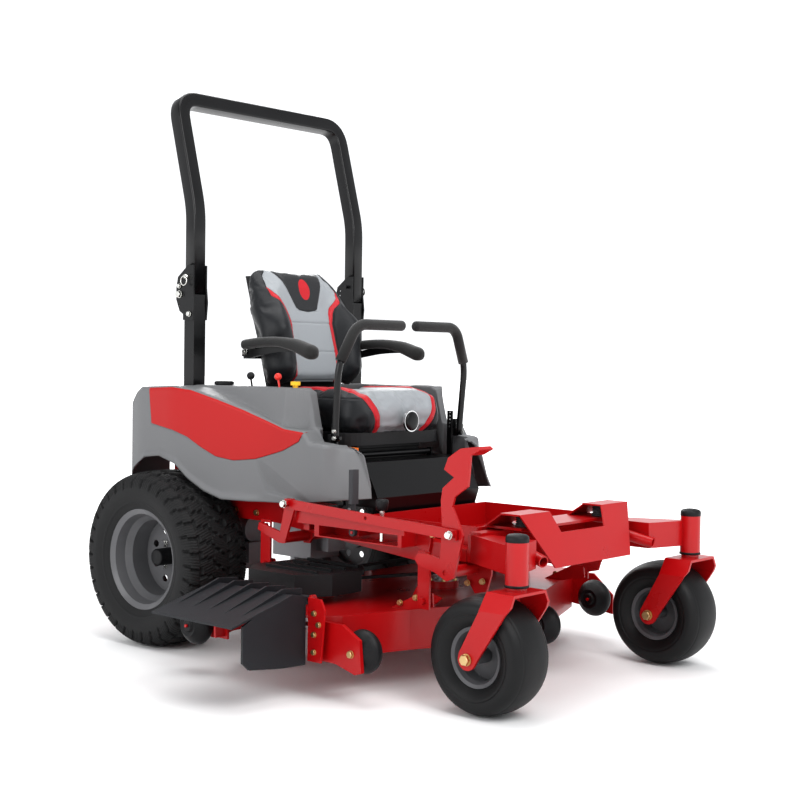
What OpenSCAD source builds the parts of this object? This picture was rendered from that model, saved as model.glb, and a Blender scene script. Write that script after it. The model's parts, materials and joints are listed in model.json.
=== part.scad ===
// Zero turn mower with a side-discharge deck, folding roll bar and suspended seat.
// Working frame: +X forward, +Y to the operator's left, +Z up, the origin on the ground
// midway between the rear wheels. place() then centres the whole machine on its footprint.

/* [Chassis] */
// Distance from the rear axle to the caster pivots
wheelbase = 1454; // [1440:2:1470]
// Distance of each caster pivot from the centre plane
caster_y = 463; // [458:1:470]
// Distance of each rear wheel's middle from the centre plane
rear_wheel_y = 480; // [478:1:490]
// Distance of the main rails' middle from the centre plane
rail_y = 320; // [316:1:322]

/* [Wheels] */
// Rolling radius of the rear tyres
rear_tyre_r = 292; // [286:1:294]
// Width of the rear tyres
rear_tyre_w = 250; // [230:2:252]
// Rolling radius of the caster tyres
caster_tyre_r = 165; // [155:1:166]
// Width of the caster tyres
caster_tyre_w = 162; // [150:2:164]
// Distance of the caster axle behind its pivot
caster_trail = 90; // [84:1:96]

/* [Roll bar] */
// Outside size of the square roll bar tube
rops_tube = 50; // [46:1:52]
// Distance of each post's middle from the centre plane
rops_y = 390; // [388:1:392]
// Height where the posts bend rearward
rops_bend_z = 1464; // [1440:4:1480]
// Height of the top of the hoop
rops_top_z = 1866; // [1840:2:1880]

/* [Deck] */
// Height of the deck's lower edge when raised
deck_low = 112; // [108:1:116]
// Depth of the deck shell
deck_h = 120; // [116:1:122]
// Length of each cutting blade
blade_len = 430; // [410:2:432]
// Distance of the outer spindles from the centre plane
spindle_y = 410; // [408:1:412]

/* [Hidden] */
rear_x = -430;
rear_roller_y = 640;
roller_pin = 46;
chute_tip_y = -985;
front_x = wheelbase - caster_trail + caster_tyre_r;
mid_x = (front_x + rear_x) / 2;
mid_y = (rear_roller_y + roller_pin + chute_tip_y) / 2;
run = 0.05;
rops_x = 31;
rops_pivot = [-11, 1177];
caster_z = caster_tyre_r;
deck_top = deck_low + deck_h;
hinge_y = -690;
hinge_z = 280;
lift_arm = 101;
lift_up = 18;
crank_f = [1179, 365];
crank_r = [512, 399];
hang_l = 126;
brake_x = 790;
brake_z = 441;

module place() translate([-mid_x, -mid_y, 0]) children();
// Draws its children on the left, or mirrored to the right
module side(s) {
    if (s < 0) mirror([0, 1, 0]) children();
    else children();
}
module both() for (s = [-1, 1]) side(s) children();
module xcyl(r, x0, x1, y, z, fn = 48)
    translate([x0, y, z]) rotate([0, 90, 0]) cylinder(r = r, h = x1 - x0, $fn = fn);
module ycyl(r, y0, y1, x, z, fn = 48)
    translate([x, y0, z]) rotate([-90, 0, 0]) cylinder(r = r, h = y1 - y0, $fn = fn);
module zcyl(r, z0, z1, x, y, fn = 48) translate([x, y, z0]) cylinder(r = r, h = z1 - z0, $fn = fn);
module box(x, y, z) translate([x[0], y[0], z[0]]) cube([x[1] - x[0], y[1] - y[0], z[1] - z[0]]);
// A plate whose outline is given in X and Z, between two Y values
module plate_xz(pts, y0, y1) translate([0, y1, 0]) rotate([90, 0, 0]) linear_extrude(y1 - y0) polygon(pts);
// A plate whose outline is given in Y and Z, between two X values
module plate_yz(pts, x0, x1)
    translate([x0, 0, 0]) rotate([90, 0, 90]) linear_extrude(x1 - x0) polygon(pts);
// A body of revolution about a line along Y, drawn as radius and Y
module yspin(x, y, z) translate([x, y, z]) rotate([-90, 0, 0]) rotate_extrude($fn = 96) children();
// A round bar from point a to point b
module bar(a, b, r, fn = 24) {
    d = b - a;
    translate(a) rotate([0, acos(d[2] / norm(d)), atan2(d[1], d[0])]) cylinder(r = r, h = norm(d),
        $fn = fn);
}
module rod(pts, r) {
    for (i = [1 : len(pts) - 1]) bar(pts[i - 1], pts[i], r);
    for (i = [1 : len(pts) - 2]) translate(pts[i]) sphere(r = r * 1.02, $fn = 32);
}
module hexy(y0, y1, x, z, af) ycyl(af / sqrt(3), y0, y1, x, z, fn = 6);
function arc(c, r, a0, a1, n) = [for (i = [0 : n]) c + r * [cos(a0 + (a1 - a0) * i / n),
    sin(a0 + (a1 - a0) * i / n)]];

// ---- chassis -------------------------------------------------------------------------
rail_top = [[-380, 500], [420, 500], [560, 482], [1185, 424]];
rail_bot = [[1185, 388], [1150, 388], [1138, 358], [560, 412], [400, 430], [-380, 430]];
module main_rails() color("red") {
    both() {
        difference() {
            plate_xz(concat(rail_top, rail_bot), rail_y - 24, rail_y + 24);
            plate_xz([[-390, 494], [420, 494], [560, 476], [1130, 424], [1130, 365],
                [560, 418], [400, 436], [-390, 436]], rail_y - 18, rail_y + 18);
        }
        // hangers that carry the rear lift shaft
        difference() {
            plate_xz([[486, 425], [540, 422], [540, 392], [524, 374], [500, 374], [486, 392]],
                rail_y - 4, rail_y + 4);
            ycyl(17 + run, rail_y - 8, rail_y + 8, crank_r[0], crank_r[1]);
        }
    }
    // step and height-of-cut shelf outside the right rail
    difference() {
        union() {
            box([560, 1010], [-418, -rail_y - 24], [484, 488]);
            box([560, 1010], [-418, -414], [452, 484]);
            box([640, 1000], [-418, -rail_y - 24], [416, 420]);
            plate_xz([[560, 484], [600, 484], [600, 430], [575, 430]], -400, -rail_y - 20);
            plate_xz([[1010, 484], [1060, 460], [1050, 400], [1000, 416], [985, 484]], -352, -rail_y - 20);
            box([640, 660], [-418, -rail_y - 24], [418, 486]);
            box([985, 1000], [-418, -rail_y - 24], [418, 486]);
            // ear that carries the parking brake
            plate_xz([[775, 454], [805, 454], [805, 430], [775, 430]], -394, -340);
            ycyl(5 - run, -410, -394, brake_x, brake_z, 24);
        }
        for (i = [0 : 6]) for (j = [0 : 3])
            zcyl(6, 410, 424, 690 + 40 * i, -403 + 16 * j, 24);
        for (i = [0 : 4]) zcyl(7.5, 480, 492, 880 + 21 * i, -395, 24);
        box([778, 830], [-407, -397], [480, 492]);
    }
}
module rear_frame() color("red") {
    box([-360, -330], [-296, 296], [436, 494]);
    box([150, 186], [-296, 296], [436, 494]);
    // towers that carry the roll bar and the fenders above the tyres
    both() {
        plate_yz([[262, 498], [290, 498], [290, 590], [420, 614], [420, 640], [262, 640]], 4, 58);
        box([-190, 300], [262, 290], [600, 624]);
        box([-190, -160], [262, 290], [498, 602]);
        box([270, 300], [262, 290], [498, 602]);
    }
    // engine deck and guard with the hitch plate
    difference() {
        box([-332, 305], [-290, 290], [493, 500]);
        zcyl(34, 480, 510, -60, 0);
    }
    difference() {
        union() {
            box([-430, -380], [-290, 290], [440, 490]);
            box([-382, -360], [-290, 290], [440, 490]);
            box([-430, -360], [-60, 60], [440, 456]);
        }
        zcyl(8, 430, 500, -405, 0);
    }
    both() box([-430, -400], [250, 280], [484, 724]);
    box([-430, -400], [-280, 280], [720, 750]);
    box([-426, -404], [-250, 250], [600, 616]);
}
module front_frame() color("red") {
    difference() {
        union() {
            // cross beam between the rails
            box([1198, 1240], [-344, 344], [386, 476]);
            box([1186, 1200], [-344, 344], [388, 424]);
            both() {
                // angled outrigger to the pivot tube
                translate([0, 0, 388]) linear_extrude(80)
                    polygon([[1240, 300], [1400, 300], [wheelbase - 10, caster_y - 20],
                        [wheelbase - 22, caster_y], [1200, 344], [1190, 344]]);
                zcyl(32, 362, 494, wheelbase, caster_y, 64);
                // gusset that carries the lift shaft bearing
                plate_xz([[1140, 392], [1240, 392], [1238, 350], [1222, 300], [1180, 290], [1150,
                    330]], 287, 295);
            }
            // receiver tubes
            both() bar([1330, 268, 430], [1420, 292, 408], 17, 40);
        }
        both() zcyl(19 + run, 300, 500, wheelbase, caster_y, 64);
        both() bar([1290, 257, 440], [1440, 297.3, 403], 13.5, 40);
        both() ycyl(17 + run, 280, 320, crank_f[0], crank_f[1]);
    }
    both() difference() {
        zcyl(29, 494, 500, wheelbase, caster_y, 64);
        zcyl(6, 490, 510, wheelbase, caster_y, 24);
    }
}
module foot_pan() color("red") {
    difference() {
        box([756, 1184], [-294, 294], [404, 484]);
        box([762, 1178], [-288, 288], [409, 490]);
    }
    box([1184, 1310], [-250, 250], [480, 488]);
    both() for (i = [0 : 2]) box([820 + 110 * i, 880 + 110 * i], [60, 240], [409, 412]);
}
module foot_plate() color("red") {
    // sloping front face with raised horns and a notch between them
    multmatrix([[1, 0, -0.45, 1563], [0, 1, 0, 0], [0, 0, 1, 0], [0, 0, 0, 1]])
            plate_yz([[-199, 378], [199, 378], [285, 531], [137, 531], [114, 470],
                [-114, 470], [-137, 531], [-285, 531]], 0, 5);
    both() {
        // horn tops and their rear cheeks
        box([1258, 1329], [137, 282], [526, 531]);
        plate_xz([[1256, 530], [1263, 530], [1202, 488], [1193, 488]], 150, 276);
    }
    both() plate_xz([[1240, 392], [1391, 388], [1354, 470], [1240, 470]], 186, 192);
}
module foot_boots() color("dimgray") both()
    translate([1284, 200, 0]) rotate_extrude($fn = 48) polygon(concat([[8, 489], [26, 489]],
        [for (i = [0 : 7]) [i % 2 == 0 ? 24 : 19, 494 + 4 * i]], [[18, 525], [8, 525]]));
module seat_box() color("black") {
    // sloping front panel, side walls and top shelf under the seat
    plate_xz([[740, 476], [758, 532], [700, 640], [690, 640], [748, 530], [733, 476]], -256, 256);
    box([690, 700], [-256, 256], [600, 640]);
    both() plate_xz([[300, 500], [742, 500], [752, 531], [697, 637], [300, 637]], 250, 256);
    difference() {
        box([240, 700], [-256, 256], [634, 640]);
        box([300, 520], [-120, 120], [630, 650]);
    }
    // brackets and pins of the hand controls
    both() box([586, 614], [255, 262], [500, 634]);
    both() ycyl(7 - run, 256, 296, 600, 620);
    // ears and pin of the seat hinge
    both() box([584, 604], [184, 190], [638, 666]);
    ycyl(5 - run, -192, 192, 594, 655, 32);
    box([700, 740], [-256, 256], [500, 506]);
}

// ---- roll bar ------------------------------------------------------------------------
module square_tube_z(x, y, z0, z1, t = rops_tube) difference() {
    box([x - t / 2, x + t / 2], [y - t / 2, y + t / 2], [z0, z1]);
    box([x - t / 2 + 4, x + t / 2 - 4], [y - t / 2 + 4, y + t / 2 - 4], [z0 - 1, z1 + 1]);
}
rops_plate = [[6, 1090], [56, 1090], [62, 1150], [56, 1200], [56, 1275], [30, 1275], [-22, 1236],
    [-30, 1200], [-30, 1160], [-12, 1120], [6, 1110]];
module rops_posts() color("black") both() {
    difference() {
        union() {
            square_tube_z(rops_x, rops_y, 640, 1176);
            for (y = [rops_y - rops_tube / 2 - 6.5, rops_y + rops_tube / 2 + 0.5])
                plate_xz(rops_plate, y, y + 6);
            for (y = [rops_y - rops_tube / 2 - 0.6, rops_y + rops_tube / 2])
                box([8, 54], [y, y + 0.6], [1092, 1150]);
        }
        for (z = [1140, 1205, 1222]) ycyl(4, rops_y - 40, rops_y + 40, -16 + (z - 1140) / 12, z, 24);
    }
    ycyl(7 - run, rops_y - 38, rops_y + 38, rops_pivot[0], rops_pivot[1]);
    hexy(rops_y + 32, rops_y + 40, rops_pivot[0], rops_pivot[1], 20);
    hexy(rops_y - 40, rops_y - 32, rops_pivot[0], rops_pivot[1], 20);
    ycyl(6 - run, rops_y + 26, rops_y + 48, rops_x, 1236);
    ycyl(6 - run, rops_y - 44, rops_y - 26, rops_x, 1236);
    translate([rops_x, rops_y + 48, 1222]) rotate([0, 90,
        90]) rotate_extrude($fn = 48) translate([14, 0]) circle(r = 2, $fn = 16);
}
module rops_hoop() color("black") {
    lean = 15;
    bend_r = 70;
    half = rops_tube / 2;
    mitre = half * tan(lean / 2);
    slant = (rops_top_z - rops_bend_z) / cos(lean);
    both() difference() {
        union() {
            box([rops_x - half, rops_x + half], [rops_y - half + 0.1, rops_y + half - 0.1],
                [1178, rops_bend_z + mitre - 0.1]);
            // lugs that reach back to the fold pivot
            box([-26, 8], [rops_y - 24, rops_y + 24], [1180, 1200]);
            ycyl(17, rops_y - 24, rops_y + 24, rops_pivot[0], rops_pivot[1] + 2);
        }
        box([rops_x - half + 4, rops_x + half - 4], [rops_y - half + 4, rops_y + half - 4], [1170, 1440]);
        ycyl(7 + run, rops_y - 40, rops_y + 40, rops_pivot[0], rops_pivot[1]);
        ycyl(6 + run, rops_y - 40, rops_y + 40, rops_x, 1236);
    }
    // leaning upper hoop with rounded corners
    out_y = rops_y + half;
    turn_s = slant - bend_r;
    translate([rops_x, 0, rops_bend_z]) rotate([0, -lean, 0]) translate([half, 0, 0])
        rotate([90, 0, -90]) linear_extrude(rops_tube) polygon(concat(
            [[-out_y, 0.3 - mitre]], arc([-out_y + bend_r, turn_s], bend_r, 180, 90, 8),
            arc([out_y - bend_r, turn_s], bend_r, 90, 0, 8),
            [[out_y, 0.3 - mitre], [out_y - rops_tube, 0.3 - mitre]],
            arc([out_y - bend_r, turn_s], bend_r - rops_tube, 0, 90, 6),
            arc([-out_y + bend_r, turn_s], bend_r - rops_tube, 90, 180, 6),
            [[-out_y + rops_tube, 0.3 - mitre]]));
}

// ---- bodywork ------------------------------------------------------------------------
fender_in = 300;
// Side outline of the bodywork: the ridge, then the front and the wheel arch
ridge = [[147, 862], [248, 835], [347, 803], [441, 766], [495, 746], [564, 740]];
fender_low = concat([[-190, 549], [-205, 600], [-205, 742], [-196, 772], [-175, 812], [-140, 846],
    [-110, 862], [60, 870]], ridge, [[592, 702], [720, 694], [830, 640], [830, 535], [772, 535],
    [630, 520], [538, 508], [376, 505], [276, 506], [211, 528], [139, 568], [83, 612], [5, 633],
    [-78, 625], [-158, 584]]);
// Plan outline of the bodywork, moved out by d
function fender_plan(d) = [[-205 - d, 280], [-205 - d, 450], [-185 - 0.7 * d, 488 + 0.7 * d],
    [-110, 510 + d], [60, 514 + d], [150, 505 + d], [250, 484 + d], [350, 454 + d], [436, 424 + d],
    [560, 404 + d], [660, 389 + d], [740, 366 + d], [830, 300 + d], [830, 280]];
module in_plan(d) translate([0, 0, 400]) linear_extrude(600) polygon(fender_plan(d));
// Everything beyond the leaning front face, which is moved out by d
module ahead(d) translate([777, 301, 539]) rotate([0, -22, 37])
    translate([d, -400, -400]) cube([300, 800, 800]);
// Console block beside the seat, with its walls moved in by d
module console(y0, d) translate([0, 0, 700 - d]) linear_extrude(172)
    polygon([[40 + d, y0], [40 + d, 400 - d], [478 - d, 388 - d], [528 - d, 328 - d], [528 - d, y0]]);
module fender(s) color("gray") side(s) {
    if (s > 0) difference() {
        zcyl(41, 796, 867, 420, 346);
        zcyl(38, 800, 890, 420, 346);
    }
    fender_skin(s);
}
module fender_skin(s) difference() {
    union() {
        difference() {
            intersection() {
                plate_xz(fender_low, fender_in, 600);
                in_plan(0);
            }
            ahead(0);
        }
        console(fender_in, 0);
    }
    // hollow behind the outer skin, open towards the machine and below
    difference() {
        translate([0, 0, -6]) intersection() {
            plate_xz([for (p = fender_low) [p[0] * 0.985 + 4, p[1] - 1]], 290, 590);
            in_plan(-6);
        }
        ahead(-6);
    }
    console(290, 6);
    ycyl(rear_tyre_r + 24, 330, 700, 0, rear_tyre_r);
    // recess for the coloured side panel
    difference() {
        plate_xz(panel_edge(0), 350, 600);
        in_plan(-3);
    }
    // roll bar post and control lever clearances
    box([0, 62], [359, 421], [590, 900]);
    box([556, 700], [290, 374], [690, 900]);
    // cup holder, fuel filler and slots for the hand levers
    if (s > 0) zcyl(38, 790, 880, 420, 346);
    zcyl(30, 855, 880, 140, 352);
    if (s < 0) {
        box([258, 300], [348, 356], [840, 880]);
        box([388, 430], [348, 356], [840, 880]);
        zcyl(9 + run, 840, 880, 480, 350);
    }
}
// Outline of the side panel, drawn smaller all round by g
panel_low = [[552, 703], [491, 672], [391, 641], [316, 633], [251, 643], [195, 669], [135, 702],
    [66, 722], [-43, 739]];
function panel_edge(g) = concat([[-58 + g, 862 - g], [60, 870 - g]],
    [for (p = ridge) [min(p[0], 564 - g), p[1] - g]], [for (p = panel_low) [min(p[0], 552 - g), p[1] + g]],
    [[-45 + g, 760]]);
module side_panels() color("red") both() intersection() {
    plate_xz(panel_edge(1.2), 350, 600);
    difference() {
        in_plan(2);
        in_plan(-2.5);
    }
}
module fuel_cap() color("black") {
    zcyl(29, 867, 886, 140, -352);
    zcyl(33, 874, 884, 140, -352, 16);
}
module small_lever(x, rad) {
    rod([[x, -352, 800], [x, -352, 860], [x - 8, -352, 898]], 3.4);
    translate([x - 9, -352, 906]) sphere(r = rad, $fn = 32);
    ycyl(9, -357, -347, x, 800, 24);
}
module throttle_lever() color("black") small_lever(280, 13);
module choke_lever() color("red") small_lever(410, 12);
module pto_switch() color("gold") {
    zcyl(9, 850, 880, 480, -350, 24);
    zcyl(16, 880, 892, 480, -350);
}

// ---- engine and drive ----------------------------------------------------------------
module engine_block() color("darkgray") {
    box([-230, 60], [-130, 130], [500.5, 640]);
    both() translate([-60, 128, 590]) rotate([-60, 0, 0])
        for (i = [0 : 6]) translate([-55, -50, 12 * i]) cube([110, 100, 6]);
    both() translate([-60, 128, 590]) rotate([-60, 0, 0]) cylinder(r = 42, h = 84);
    zcyl(20, 470, 502, -60, 0);
}
module engine_cover() color("black") {
    difference() {
        union() {
            zcyl(150, 676, 745, -70, 0, 96);
            zcyl(100, 640, 680, -70, 0, 96);
        }
        zcyl(142, 680, 738, -70, 0, 96);
        for (i = [0 : 11]) translate([-70, 0, 730]) rotate(30 * i) translate([60, -6, 0]) cube([50,
            12, 30]);
    }
    // air cleaner above the blower housing
    xcyl(52, -200, 60, 0, 792, 64);
    box([-130, -10], [-40, 40], [738, 760]);
}
module muffler() color("silver") {
    ycyl(52, -150, 150, -300, 568, 64);
    rod([[-300, 100, 568], [-275, 104, 596], [-245, 104, 596]], 14);
    rod([[-300, -100, 568], [-275, -104, 596], [-245, -104, 596]], 14);
    rod([[-340, 60, 560], [-370, 60, 540]], 15);
}
module transaxles() color("gray") both() {
    box([-110, 90], [120, 270], [230, 372]);
    xcyl(46, -110, 130, 195, 372);
    ycyl(62, 262, 300, 0, rear_tyre_r, 64);
    box([-60, 40], [150, 240], [366, 430]);
    box([90, 150], [150, 240], [260, 330]);
    zcyl(34, 170, 232, -40, 190);
}
module pto_pulley() color("silver") {
    zcyl(52, 395, 438, -60, 0);
    zcyl(70, 420, 428, -60, 0, 64);
    zcyl(70, 398, 404, -60, 0, 64);
    zcyl(14, 438, 468, -60, 0);
}

// ---- wheels --------------------------------------------------------------------------
function tyre_half(r, w, bead, bulge) = concat([[bead, w * 0.40], [bead + 8, w * 0.455]],
    [for (i = [0 : 9]) let (t = i / 9, a = 90 * t)
        [bead + 14 + (r - bead - 14) * pow(sin(10 + a * 80 / 90), 0.9) / pow(sin(90), 0.9),
        w / 2 * (1 - (1 - bulge) * pow(t, 4))]]);
module tyre_section(r, w, bead, bulge) {
    h = tyre_half(r, w, bead, bulge);
    polygon(concat(h, [for (i = [len(h) - 1 : -1 : 0]) [h[i][0], -h[i][1]]]));
}
module rear_tyre(s) color("black") side(s) yspin(0, rear_wheel_y, rear_tyre_r)
    tyre_section(rear_tyre_r, rear_tyre_w, 154, 0.84);
module rear_rim(s) color("dimgray") side(s) {
    difference() {
        translate([0, rear_wheel_y, rear_tyre_r]) rotate([-90, 0, 0]) rotate_extrude($fn = 96)
            polygon([[152, -98], [166, -106], [170, -104], [158, -92], [150, -60], [128, -50], [126, -36],
                [126, -20], [40, -28], [30, -28], [30, -33], [40, -33], [121, -25], [121, -52], [145, -65],
                [152, -80]]);
        for (i = [0 : 7]) translate([0, 0, rear_tyre_r]) rotate([0, 45 * i + 22, 0])
            ycyl(12, rear_wheel_y - 60, rear_wheel_y, 88, 0, 24);
    }
    yspin(0, rear_wheel_y, rear_tyre_r)
        polygon([[126, -21], [132, -21], [134, 40], [150, 60], [158, 90], [170, 104], [166, 106], [150, 96],
            [143, 62], [127, 42], [125, -19]]);
    // hub, axle stub and lug nuts
    ycyl(26, 303, rear_wheel_y + 42, 0, rear_tyre_r, 48);
    ycyl(60, rear_wheel_y - 46, rear_wheel_y - 33.5, 0, rear_tyre_r, 48);
    for (i = [0 : 3]) translate([0, 0, rear_tyre_r]) rotate([0, 90 * i + 45, 0])
        hexy(rear_wheel_y - 28, rear_wheel_y - 14, 52, 0, 19);
}
module caster_fork(s) color("red") side(s) {
    ax = wheelbase - caster_trail;
    difference() {
        union() {
            intersection() {
                plate_yz([[caster_y - 99, 100], [caster_y - 99, 302], [caster_y - 72, 351],
                    [caster_y + 72, 351],
                    [caster_y + 99, 302], [caster_y + 99, 100]], ax - 60, wheelbase + 60);
                union() {
                    plate_xz([[wheelbase - 46, 360], [wheelbase + 46, 360], [wheelbase + 46, 318],
                        [wheelbase + 22, 280], [ax + 29, caster_z - 8], [ax - 28, caster_z + 14],
                        [wheelbase - 52, 300]], caster_y - 110, caster_y + 110);
                    ycyl(30, caster_y - 110, caster_y + 110, ax, caster_z);
                }
            }
            zcyl(28, 351, 361.6, wheelbase, caster_y);
            zcyl(19, 351, 493, wheelbase, caster_y, 64);
        }
        plate_yz([[caster_y - 91, 90], [caster_y - 91, 299], [caster_y - 67, 343], [caster_y + 67, 343],
            [caster_y + 91, 299], [caster_y + 91, 90]], ax - 70, wheelbase + 70);
    }
    // axle bolt with its nut
    ycyl(8, caster_y - 104, caster_y + 106, ax, caster_z);
    hexy(caster_y + 99, caster_y + 108, ax, caster_z, 26);
    hexy(caster_y - 108, caster_y - 99, ax, caster_z, 26);
}
module caster_tyre(s) color("black") side(s)
    yspin(wheelbase - caster_trail, caster_y, caster_z) tyre_section(caster_tyre_r, caster_tyre_w,
        76, 0.62);
module caster_rim(s) color("dimgray") side(s) yspin(wheelbase - caster_trail, caster_y, caster_z)
    polygon([[8 + run, -70], [20, -70], [20, -12], [66, -8], [68, -44], [74, -58], [84, -62], [86, -58],
        [78, -52], [74, -40], [73, 0], [74, 40], [78, 52], [86, 58], [84, 62], [74, 58], [68, 44], [66, 8],
        [20, 12], [20, 70], [8 + run, 70]]);

// ---- deck ----------------------------------------------------------------------------
deck_front = [[900, -665], [940, -600], [1010, -385], [1084, -200], [1098, 0], [1084, 200], [1010, 385],
    [940, 560], [880, 632]];
deck_rear = [[560, 645], [470, 600], [425, 500], [425, -560], [470, -665]];
spindles = [[650, -spindle_y], [812, 0], [650, spindle_y]];
module deck_shell() color("red") {
    difference() {
        translate([0, 0, deck_low]) linear_extrude(deck_h) polygon(concat(deck_front, deck_rear));
        translate([0, 0, deck_low - 1]) linear_extrude(deck_h - 4)
            polygon([[895, -658], [934, -602], [1004, -387], [1078, -202], [1091, 0], [1078, 202],
                [1004, 387],
                [934, 556], [877, 626], [563, 639], [475, 595], [431, 498], [431, -558], [474, -658]]);
        // side discharge opening
        box([520, 880], [-700, -640], [deck_low - 2, deck_top - 8]);
        for (p = spindles) zcyl(24 + run, deck_low, deck_top + 9, p[0], p[1]);
    }
    // spindle housings
    for (p = spindles) difference() {
        zcyl(56, deck_top - 2, deck_top + 24, p[0], p[1]);
        zcyl(24 + run, deck_top - 10, deck_top + 30, p[0], p[1]);
    }
    // front reinforcement and hanger brackets
    plate_xz([[930, deck_top - 2], [1020, deck_top - 2], [1060, 262], [960, 284]], -300, -295);
    for (s = [-1, 1]) side(s) {
        plate_xz([[940, deck_top - 2], [1004, deck_top - 2], [1104, 252], [1100, 292], [1062,
            292]], 388, 394);
        plate_xz([[396, deck_top - 30], [470, deck_top - 2], [470, deck_top + 10], [436, 322],
            [394, 322]], 388, 394);
    }
    // lugs that carry the front and rear rollers
    plate_xz([[890, 225], [1010, 225], [1075, 190], [1085, 100], [1060, 92], [985, 112], [890,
        112]], -676, -664);
    plate_xz([[820, 225], [980, 225], [1060, 158], [1060, 92], [960, 104], [820, 120]], 632, 639);
    plate_xz([[1086, 200], [1170, 170], [1190, 100], [1165, 92], [1086, 120]], 18, 30);
    plate_xz([[475, 225], [400, 200], [390, 110], [440, 104], [475, 130]], -652, -643);
    plate_xz([[470, 225], [400, 200], [390, 110], [440, 104], [470, 130]], 590, 597);
    plate_yz([[-676, 112], [-676, 190], [-590, 190], [-590, 112]], 928, 936);
    // upright that carries the chute hinge
    for (x = [[900, 908], [500, 508]]) difference() {
        plate_yz([[-702, 120], [-702, 270], [-696, 298], [-678, 298], [-664, 270], [-664, 120]],
            x[0], x[1]);
        xcyl(6 + run, x[0] - 5, x[1] + 5, hinge_y + 2, hinge_z + 2, 24);
    }
    plate_xz([[900, 112], [952, 112], [966, 262], [950, 292], [900, 292]], -702, -695);
    for (p = roller_pos) ycyl(5, p[1] - roller_pin, p[1] + roller_pin, p[0], p[2], 24);
}
roller_r = 63;
roller_z = 148;
roller_pos = [[1045, -623.5, roller_z], [1012, 591.5, roller_z], [1164, 72, roller_z],
    [412, -694, roller_z], [412, rear_roller_y, roller_z]];
module roller(i) color("black") difference() {
    p = roller_pos[i];
    yspin(p[0], p[1], p[2]) polygon(concat([[5 + run, -40], [16, -40], [22, -34]],
        [for (k = [0 : 12]) [roller_r - 30 + 30 * sin(180 * k / 12), -38 + 76 * k / 12]],
        [[22, 34], [16, 40], [5 + run, 40]]));
}
module lift_links() color("red") both() {
    for (c = [crank_f, crank_r]) {
        x = c[0] - lift_arm * cos(lift_up);
        z = c[1] + lift_arm * sin(lift_up);
        difference() {
            union() {
                box([x - 22, x + 22], [406, 414], [z - hang_l - 24, z + 18]);
                ycyl(9, 394, 424, x, z - hang_l);
            }
            ycyl(9, 400, 420, x, z);
            box([x - 12, x + 20], [400, 420], [z - 9, z + 9]);
        }
        hexy(414, 426, x, z - hang_l, 19);
        ycyl(16, 394, 406, x, z - hang_l);
    }
}
module belt_covers() color("black") both() {
    translate([0, 0, deck_top + 26]) {
        difference() {
            linear_extrude(66) polygon([[500, 330], [560, 300], [740, 300], [800, 360], [800, 500],
                [730, 590], [540, 600], [480, 530]]);
            translate([0, 0, -1]) linear_extrude(62) polygon([[504, 332], [562, 304], [738, 304],
                [796, 362],
                [796, 498], [728, 586], [542, 596], [484, 528]]);
            box([470, 690], [290, 312], [-2, 50]);
            box([690, 830], [290, 372], [-2, 50]);
        }
        for (i = [0 : 3]) box([540, 760], [340 + 60 * i, 348 + 60 * i], [66, 74]);
    }
    zcyl(10, deck_top + 92, deck_top + 104, 640, 450);
}
module belt_loop(r) hull() for (p = spindles) translate(p) circle(r = r, $fn = 32);
module deck_belt() color("black") translate([0, 0, deck_top + 53]) linear_extrude(9) difference() {
    belt_loop(70);
    belt_loop(61);
}
module spindle(i) color("silver") {
    p = spindles[i];
    zcyl(24, deck_low + 42, deck_top + 28, p[0], p[1]);
    difference() {
        union() {
            zcyl(58, deck_top + 46, deck_top + 68, p[0], p[1], 64);
            zcyl(66, deck_top + 46, deck_top + 50, p[0], p[1], 64);
            zcyl(66, deck_top + 64, deck_top + 68, p[0], p[1], 64);
        }
        for (k = [0 : 3]) translate([p[0], p[1], 0]) rotate(90 * k)
            zcyl(14, deck_top + 40, deck_top + 70, 40, 0, 24);
    }
    zcyl(16, deck_top + 28, deck_top + 74, p[0], p[1]);
    // blade with raised sails
    translate([p[0], p[1], deck_low + 30]) rotate(i == 1 ? 90 : 60) {
        cube([blade_len - 10, 62, 6], center = true);
        for (a = [0, 180]) rotate(a) translate([blade_len / 2 - 90, -31, 0]) rotate([-30, 0,
            0]) cube([80, 22, 5]);
    }
    zcyl(26, deck_low + 24, deck_low + 44, p[0], p[1]);
}
chute_side = [[hinge_y + 6, 290], [-760, 304], [chute_tip_y + 30, 252], [chute_tip_y, 244],
    [chute_tip_y, 238], [chute_tip_y + 30, 246], [-760, 298], [hinge_y + 6, 284]];
module discharge_chute() color("black") {
    plate_yz(chute_side, 556, 896);
    difference() {
        plate_yz([[hinge_y, 292], [-760, 306], [-900, 262], [-945, 240], [-945, 140], [-920, 118],
            [-800, 104],
            [hinge_y - 16, 100], [hinge_y - 16, 280]], 888, 896);
    }
    for (i = [0 : 4]) plate_yz([[hinge_y + 4, 288], [-760, 302], [-930, 258], [-760, 318],
        [hinge_y + 4, 312]],
        580 + 68 * i, 588 + 68 * i);
    xcyl(13, 512, 896, hinge_y + 2, hinge_z + 2);
    xcyl(6 - run, 494, 914, hinge_y + 2, hinge_z + 2, 24);
}

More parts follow.
